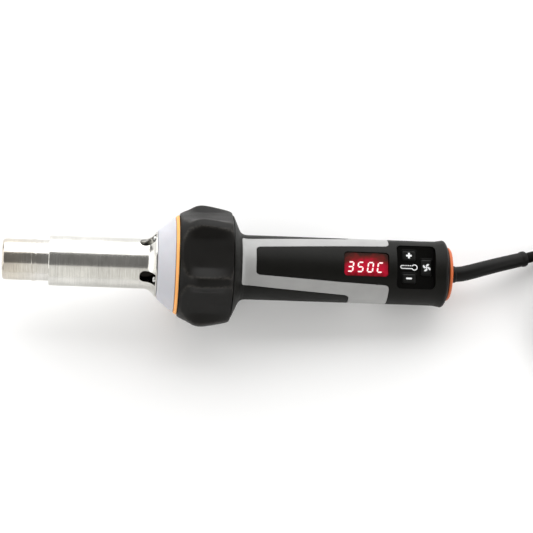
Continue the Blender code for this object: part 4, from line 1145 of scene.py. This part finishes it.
panel = {
    "window": (276.15, 33.9, 18.4, 2.6),     # centre along, length, width, corner
    "windowTop": 22.0,
    "windowBulge": 0.12,
    "windowThick": 1.5,
    "plate": (314.6, 29.4, 33.4, 3.2),
    "plateTop": 17.3,
    "plateThick": 2.0,
    "keyTop": 18.2,
    "keyBottom": 13.9,
    "keyGap": 0.3,
    "keyCorner": 1.2,
    "keys": {"plusButton": (309.6, 9.1, 10.3, 7.4), "minusButton": (309.6, -8.9, 10.3, 7.4),
             "fanButton": (323.3, 0.1, 8.2, 12.6)},
    "digits": "350C",
    "digitHigh": 7.3,
    "digitWide": 3.8,
    "digitPitch": 7.6,
    "digitLean": 0.15,
    "digitBar": 1.05,
    "digitMiddle": (275.5, -2.1),
    "rimHigh": 0.12,
    "printHigh": 0.05,
}


def boxPlate(centre, size, margin, spacing, distance, top, bottom):
    # A plate cut from a grid that reaches a margin past a box
    grid = [spread(middle - whole / 2 - margin, middle + whole / 2 + margin, spacing)
            for middle, whole in zip(centre, size)]
    return plateShape(*grid, distance, top, bottom)


def stampShape(middle, half, distance, surface, spacing):
    # A sign a hair above a surface, cut from a fine grid where the distance is below zero
    return boxPlate(middle, (2 * half[0], 2 * half[1]), 0, spacing, distance,
                    lambda x, y: surface(x, y) + panel["printHigh"], lambda x, y: surface(x, y) - 0.02)


def makeWindow():
    # The window bulges a little: its height falls with the fourth power of the way to its sides
    centre, length, width, _ = panel["window"]
    top = panel["windowTop"]
    bulge = panel["windowBulge"]
    crown = lambda x, y: (top - bulge * (np.abs(x - centre) * 2 / length) ** 4
                          - bulge * (np.abs(y) * 2 / width) ** 4)
    shape = boxPlate((centre, 0.0), (length, width), 0.4, 0.5, slabDistance(panel["window"]), crown,
                     flat(top - panel["windowThick"]))
    makePiece("displayWindow", [shape], "redLens", "display_window", bevel=0.3, sharp=40)


def barOutline(first, second, wide):
    # A lit bar: a thin box between two points with pointed ends
    first, second = np.array(first, float), np.array(second, float)
    ahead = (second - first) / np.linalg.norm(second - first)
    side = np.array([-ahead[1], ahead[0]]) * wide / 2
    point = ahead * wide / 2
    return np.array([first, first + point + side, second - point + side, second, second - point - side,
                     first + point - side])


def makeDigits():
    # Seven-bar digits: the bars that each character lights, leaning forward
    high, wide, gap = panel["digitHigh"] / 2, panel["digitWide"] / 2, 0.2
    bars = {"a": ((-wide, high), (wide, high)), "b": ((wide, high), (wide, 0)),
            "c": ((wide, 0), (wide, -high)), "d": ((-wide, -high), (wide, -high)),
            "e": ((-wide, 0), (-wide, -high)), "f": ((-wide, high), (-wide, 0)),
            "g": ((-wide, 0), (wide, 0))}
    lit = {"3": "abcdg", "5": "acdfg", "0": "abcdef", "C": "adef"}
    shapes = []
    text = panel["digits"]
    for number, character in enumerate(text):
        middle = (panel["digitMiddle"][0] + (number - (len(text) - 1) / 2) * panel["digitPitch"],
                  panel["digitMiddle"][1])
        outlines = []
        for bar in lit[character]:
            first, second = np.array(bars[bar], float)
            ahead = (second - first) / np.linalg.norm(second - first)
            outlines.append(barOutline(first + ahead * gap, second - ahead * gap, panel["digitBar"]))

        def distance(x, y, middle=middle, outlines=outlines):
            localY = y - middle[1]
            localX = x - middle[0] - panel["digitLean"] * localY
            return np.minimum.reduce([outlineDistance(localX, localY, outline) for outline in outlines])

        shapes.append(stampShape(middle, (wide + 1.8, high + 1.0), distance,
                                 flat(panel["windowTop"]), 0.16))
    makePiece("litDigits", shapes, "litDigits", sharp=40)


def holeDistance(x, y):
    # Distance to the nearest key's opening in the plate
    gap = panel["keyGap"]
    corner = panel["keyCorner"] + gap
    return np.minimum.reduce([roundedBox(x, y, (s, middle), (long + 2 * gap, wide + 2 * gap), corner)
                              for s, middle, long, wide in panel["keys"].values()])


def plateSurface(x, y):
    # The plate's flat top, with a low rim round each key's opening
    return panel["plateTop"] + panel["rimHigh"] * (1 - smoothStep(holeDistance(x, y), 0.3, 1.1))


def makeKeypad():
    # The sunk plate, with an opening for each key
    centre, length, width, _ = panel["plate"]
    plate = slabDistance(panel["plate"])
    shape = boxPlate((centre, 0.0), (length, width), 0.4, 0.33,
                     lambda x, y: np.maximum(plate(x, y), -holeDistance(x, y)), plateSurface,
                     flat(panel["plateTop"] - panel["plateThick"]))
    makePiece("keypadPlate", [shape], "blackGloss", "keypad_plate", bevel=0.2, sharp=40)


def keySurface(name):
    # A key's top falls away near its edge, and dips a little in the middle for the finger
    s, y, long, wide = panel["keys"][name]
    edge = boxDistance((s, y), (long, wide), panel["keyCorner"])
    return lambda a, b: (panel["keyTop"] - 0.5 * (1 - smoothStep(-edge(a, b), 0.0, 1.1))
                         - 0.12 * np.exp(-((a - s) / (0.3 * long)) ** 2 - ((b - y) / (0.3 * wide)) ** 2))


def makeKeys():
    for name, (s, y, long, wide) in panel["keys"].items():
        key = name.replace("Button", "")
        distance = boxDistance((s, y), (long, wide), panel["keyCorner"])
        shape = boxPlate((s, y), (long, wide), 0.3, 0.24, distance, keySurface(name),
                         flat(panel["keyBottom"]))
        makePiece(name, [shape], "keyRubber", f"{key}_button", f"{key}_key", bevel=0.16, sharp=40)


def makeSigns():
    # Printed signs: plus, minus and fan on the keys, and a thermometer between them on the plate
    plus = panel["keys"]["plusButton"]
    minus = panel["keys"]["minusButton"]
    fan = panel["keys"]["fanButton"]
    cross = lambda x, y: np.minimum(roundedBox(x, y, plus[:2], (4.4, 1.5), 0.5),
                                    roundedBox(x, y, plus[:2], (1.5, 4.4), 0.5))
    dash = lambda x, y: roundedBox(x, y, minus[:2], (4.5, 1.3), 0.55)

    def blades(x, y):
        # Four blades: in turns of a quarter, a band that leans over with the distance from the middle,
        # round at its tip, on a small hub
        dx, dy = x - fan[0], y - fan[1]
        reach = np.hypot(dx, dy)
        swept = np.arctan2(dy, dx) + 0.26 * reach - 0.3
        away = (np.mod(swept + math.pi / 4, math.pi / 2) - math.pi / 4) * reach
        tip = np.hypot(away, (reach - 2.15) * 0.8) - 0.95
        stem = np.maximum(np.abs(away) - 0.38, reach - 2.2)
        return np.minimum(tip, stem)

    def thermometer(x, y):
        # The outline of a stem and a bulb; the stem's upper line has gaps in it, as a scale
        stem = roundedBox(x, y, (308.6, 0.25), (10.4, 2.3), 1.15)
        bulb = np.hypot(x - 314.0, y - 0.1) - 2.05
        shell = np.abs(np.minimum(stem, bulb)) - 0.34
        gaps = [roundedBox(x, y, (306.6 + 1.7 * k, 1.4), (0.5, 1.4), 0.1) for k in range(4)]
        return np.maximum(shell, -np.minimum.reduce(gaps))

    signs = [("plusSign", plus[:2], (2.9, 2.9), cross, keySurface("plusButton"), "plus_key"),
             ("minusSign", minus[:2], (2.9, 1.4), dash, keySurface("minusButton"), "minus_key"),
             ("fanSign", fan[:2], (3.6, 3.6), blades, keySurface("fanButton"), "fan_key"),
             ("thermometerSign", (309.8, 0.0), (7.2, 3.0), thermometer, plateSurface, "housing")]
    for name, middle, half, distance, surface, body in signs:
        makePiece(name, [stampShape(middle, half, distance, surface, 0.11)], "keyPrint", body=body, sharp=40)


makeWindow()
makeDigits()
makeKeypad()
makeKeys()
makeSigns()
print("panel made")


# Rear end: orange ring, grille, and the mains switch in the underside

rear = {
    "ring": [(341.3, 14.6), (341.3, 20.6), (342.6, 20.6), (344.0, 18.9), (344.0, 15.6), (343.4, 14.6)],
    "ringReach": [0.3, 0.4, 0.8, 0.7, 0.5, 0.4],
    "grille": (341.4, 343.0, 6.6, 14.2),
    "slots": 12,
    "switchAt": 312.5,
    "switchSize": (22.0, 15.6),
    "switchInside": (19.6, 13.2),
    "switchLow": -23.4,
    "switchGrid": (22.8, 16.4),
    "switchHigh": -12.2,
    "switchFloor": -14.4,
    "keyPivot": -18.0,
    "keyLean": 10.0,
    "keyHalfWide": 6.2,
}


def makeGrille():
    # A flat ring seen from behind, with radial slots: distance to a slot is measured in a wedge that repeats
    front, back, inner, outer = rear["grille"]
    radius = spread(inner, outer, 0.3)
    angle = np.linspace(0, 2 * math.pi, 289)
    r, arc = crossGrid(radius, angle * 10)
    step = 2 * math.pi / rear["slots"]

    def distance(x, y):
        away = (np.mod(y / 10, step) - step / 2) * x
        return roundedBox(x, away, (10.4, 0.0), (4.8, 2.3), 1.0)

    r, arc, side = snapped(r, arc, distance)
    faces = facesWhere(side, *r.shape)
    level = lambda s: aroundAxis(np.full(r.shape, s), r, arc / 10).reshape(-1, 3)
    points, faces = walled([(level(back), seamJoined(faces, r.shape))], level(front))
    makePiece("intakeGrille", [(inRow(points), faces)], "blackNylon", "intake_grille", bevel=0.2, sharp=40)


def makeRocker():
    # The switch's frame is a tall rounded box with a sunk well, and the key is a bent bar across it
    centre = (rear["switchAt"], 0.0)
    frameOutside = boxDistance(centre, rear["switchSize"], 0.9)
    well = boxDistance(centre, rear["switchInside"], 0.7)
    size = rear["switchGrid"]
    bezel = boxPlate(centre, size, 0, 0.4, lambda x, y: np.maximum(frameOutside(x, y), -well(x, y)),
                     flat(rear["switchHigh"]), flat(rear["switchLow"]))
    floor = boxPlate(centre, size, 0, 0.4, well, flat(rear["switchHigh"]), flat(rear["switchFloor"]))
    makePiece("switchFrame", [bezel, floor], "blackGloss", "rocker_body", bevel=0.3, sharp=40)
    outline = softened([(-8.5, -3.5), (0, -2.9), (8.5, -3.5), (7.6, 1.4), (-7.6, 1.4)],
                       [0.8, 2.5, 0.8, 0.6, 0.6], 6)
    lean = math.radians(rear["keyLean"])
    turn = np.array([[math.cos(lean), math.sin(lean)], [-math.sin(lean), math.cos(lean)]])
    outline = outline @ turn
    half = rear["keyHalfWide"]
    sections = []
    for y, shrink in ((-half, 0.94), (-half + 0.15, 0.98), (-half + 0.5, 1.0), (half - 0.5, 1.0),
                      (half - 0.15, 0.98), (half, 0.94)):
        sections.append(np.stack([rear["switchAt"] + outline[:, 0] * shrink, np.full(len(outline), y),
                                  rear["keyPivot"] + outline[:, 1] * shrink], 1))
    points, faces = lofted(sections)
    makePiece("switchKey", [(inRow(points), faces)], "keyRubber", "rocker_key", "mains_rocker", sharp=45)
    marks = []
    for middle, distance in ((-4.9, lambda x, y: roundedBox(x, y, (-4.9, 0.0), (0.6, 3.4), 0.1)),
                             (4.9, lambda x, y: np.abs(np.hypot(x - 4.9, y) - 1.6) - 0.3)):
        x, y = crossGrid(spread(middle - 2.3, middle + 2.3, 0.12), spread(-2.3, 2.3, 0.12))
        x, y, side = snapped(x, y, distance)
        faces = facesWhere(-side, *x.shape)
        face = np.interp(x, (-8.5, -1.2, 1.2, 8.5), (-3.5, -3.0, -3.0, -3.5))
        shapes = []
        for lift in (-0.05, 0.05):
            stood = np.stack([x, face + lift], -1).reshape(-1, 2) @ turn
            shapes.append(np.stack([rear["switchAt"] + stood[:, 0], y.ravel(),
                                    rear["keyPivot"] + stood[:, 1]], 1))
        points, faces = walled([(shapes[0], faces)], shapes[1])
        marks.append((inRow(points), faces))
    makePiece("switchMarks", marks, "keyPrint", body="mains_rocker", sharp=45)


makePiece("filterRing", [ringShape(softened(rear["ring"], rear["ringReach"], 4), 200)], "orangePlastic",
          "filter_ring", sharp=50)
makeGrille()
makeRocker()
print("rear end made")


# Floor, and the end

def makeFloor():
    half = studio["floorSize"] / 2
    x, y = crossGrid(np.linspace(-half, half, 9), np.linspace(-half, half, 9))
    points = np.stack([x, y, np.full(x.shape, -0.0004)], -1).reshape(-1, 3)
    mesh = bpy.data.meshes.new("floor")
    mesh.from_pydata(points.tolist(), [], gridFaces(9, 9).tolist())
    finish, tree, shader = startFinish("paleFloor")
    place = addNode(tree, "TexCoord", {}).outputs["Object"]
    light = studio["floorColour"]
    dark = tuple(0.985 * value for value in light)
    colour = colourRamp(tree, noise(tree, place, 3.0), [(0.3, dark), (0.7, light)])
    fill(tree, shader, {"Base Color": colour, "Roughness": 0.8, "Specular IOR Level": 0.2})
    mesh.materials.append(finish)
    floor = bpy.data.objects.new("floor", mesh)
    bpy.context.scene.collection.objects.link(floor)


makeFloor()
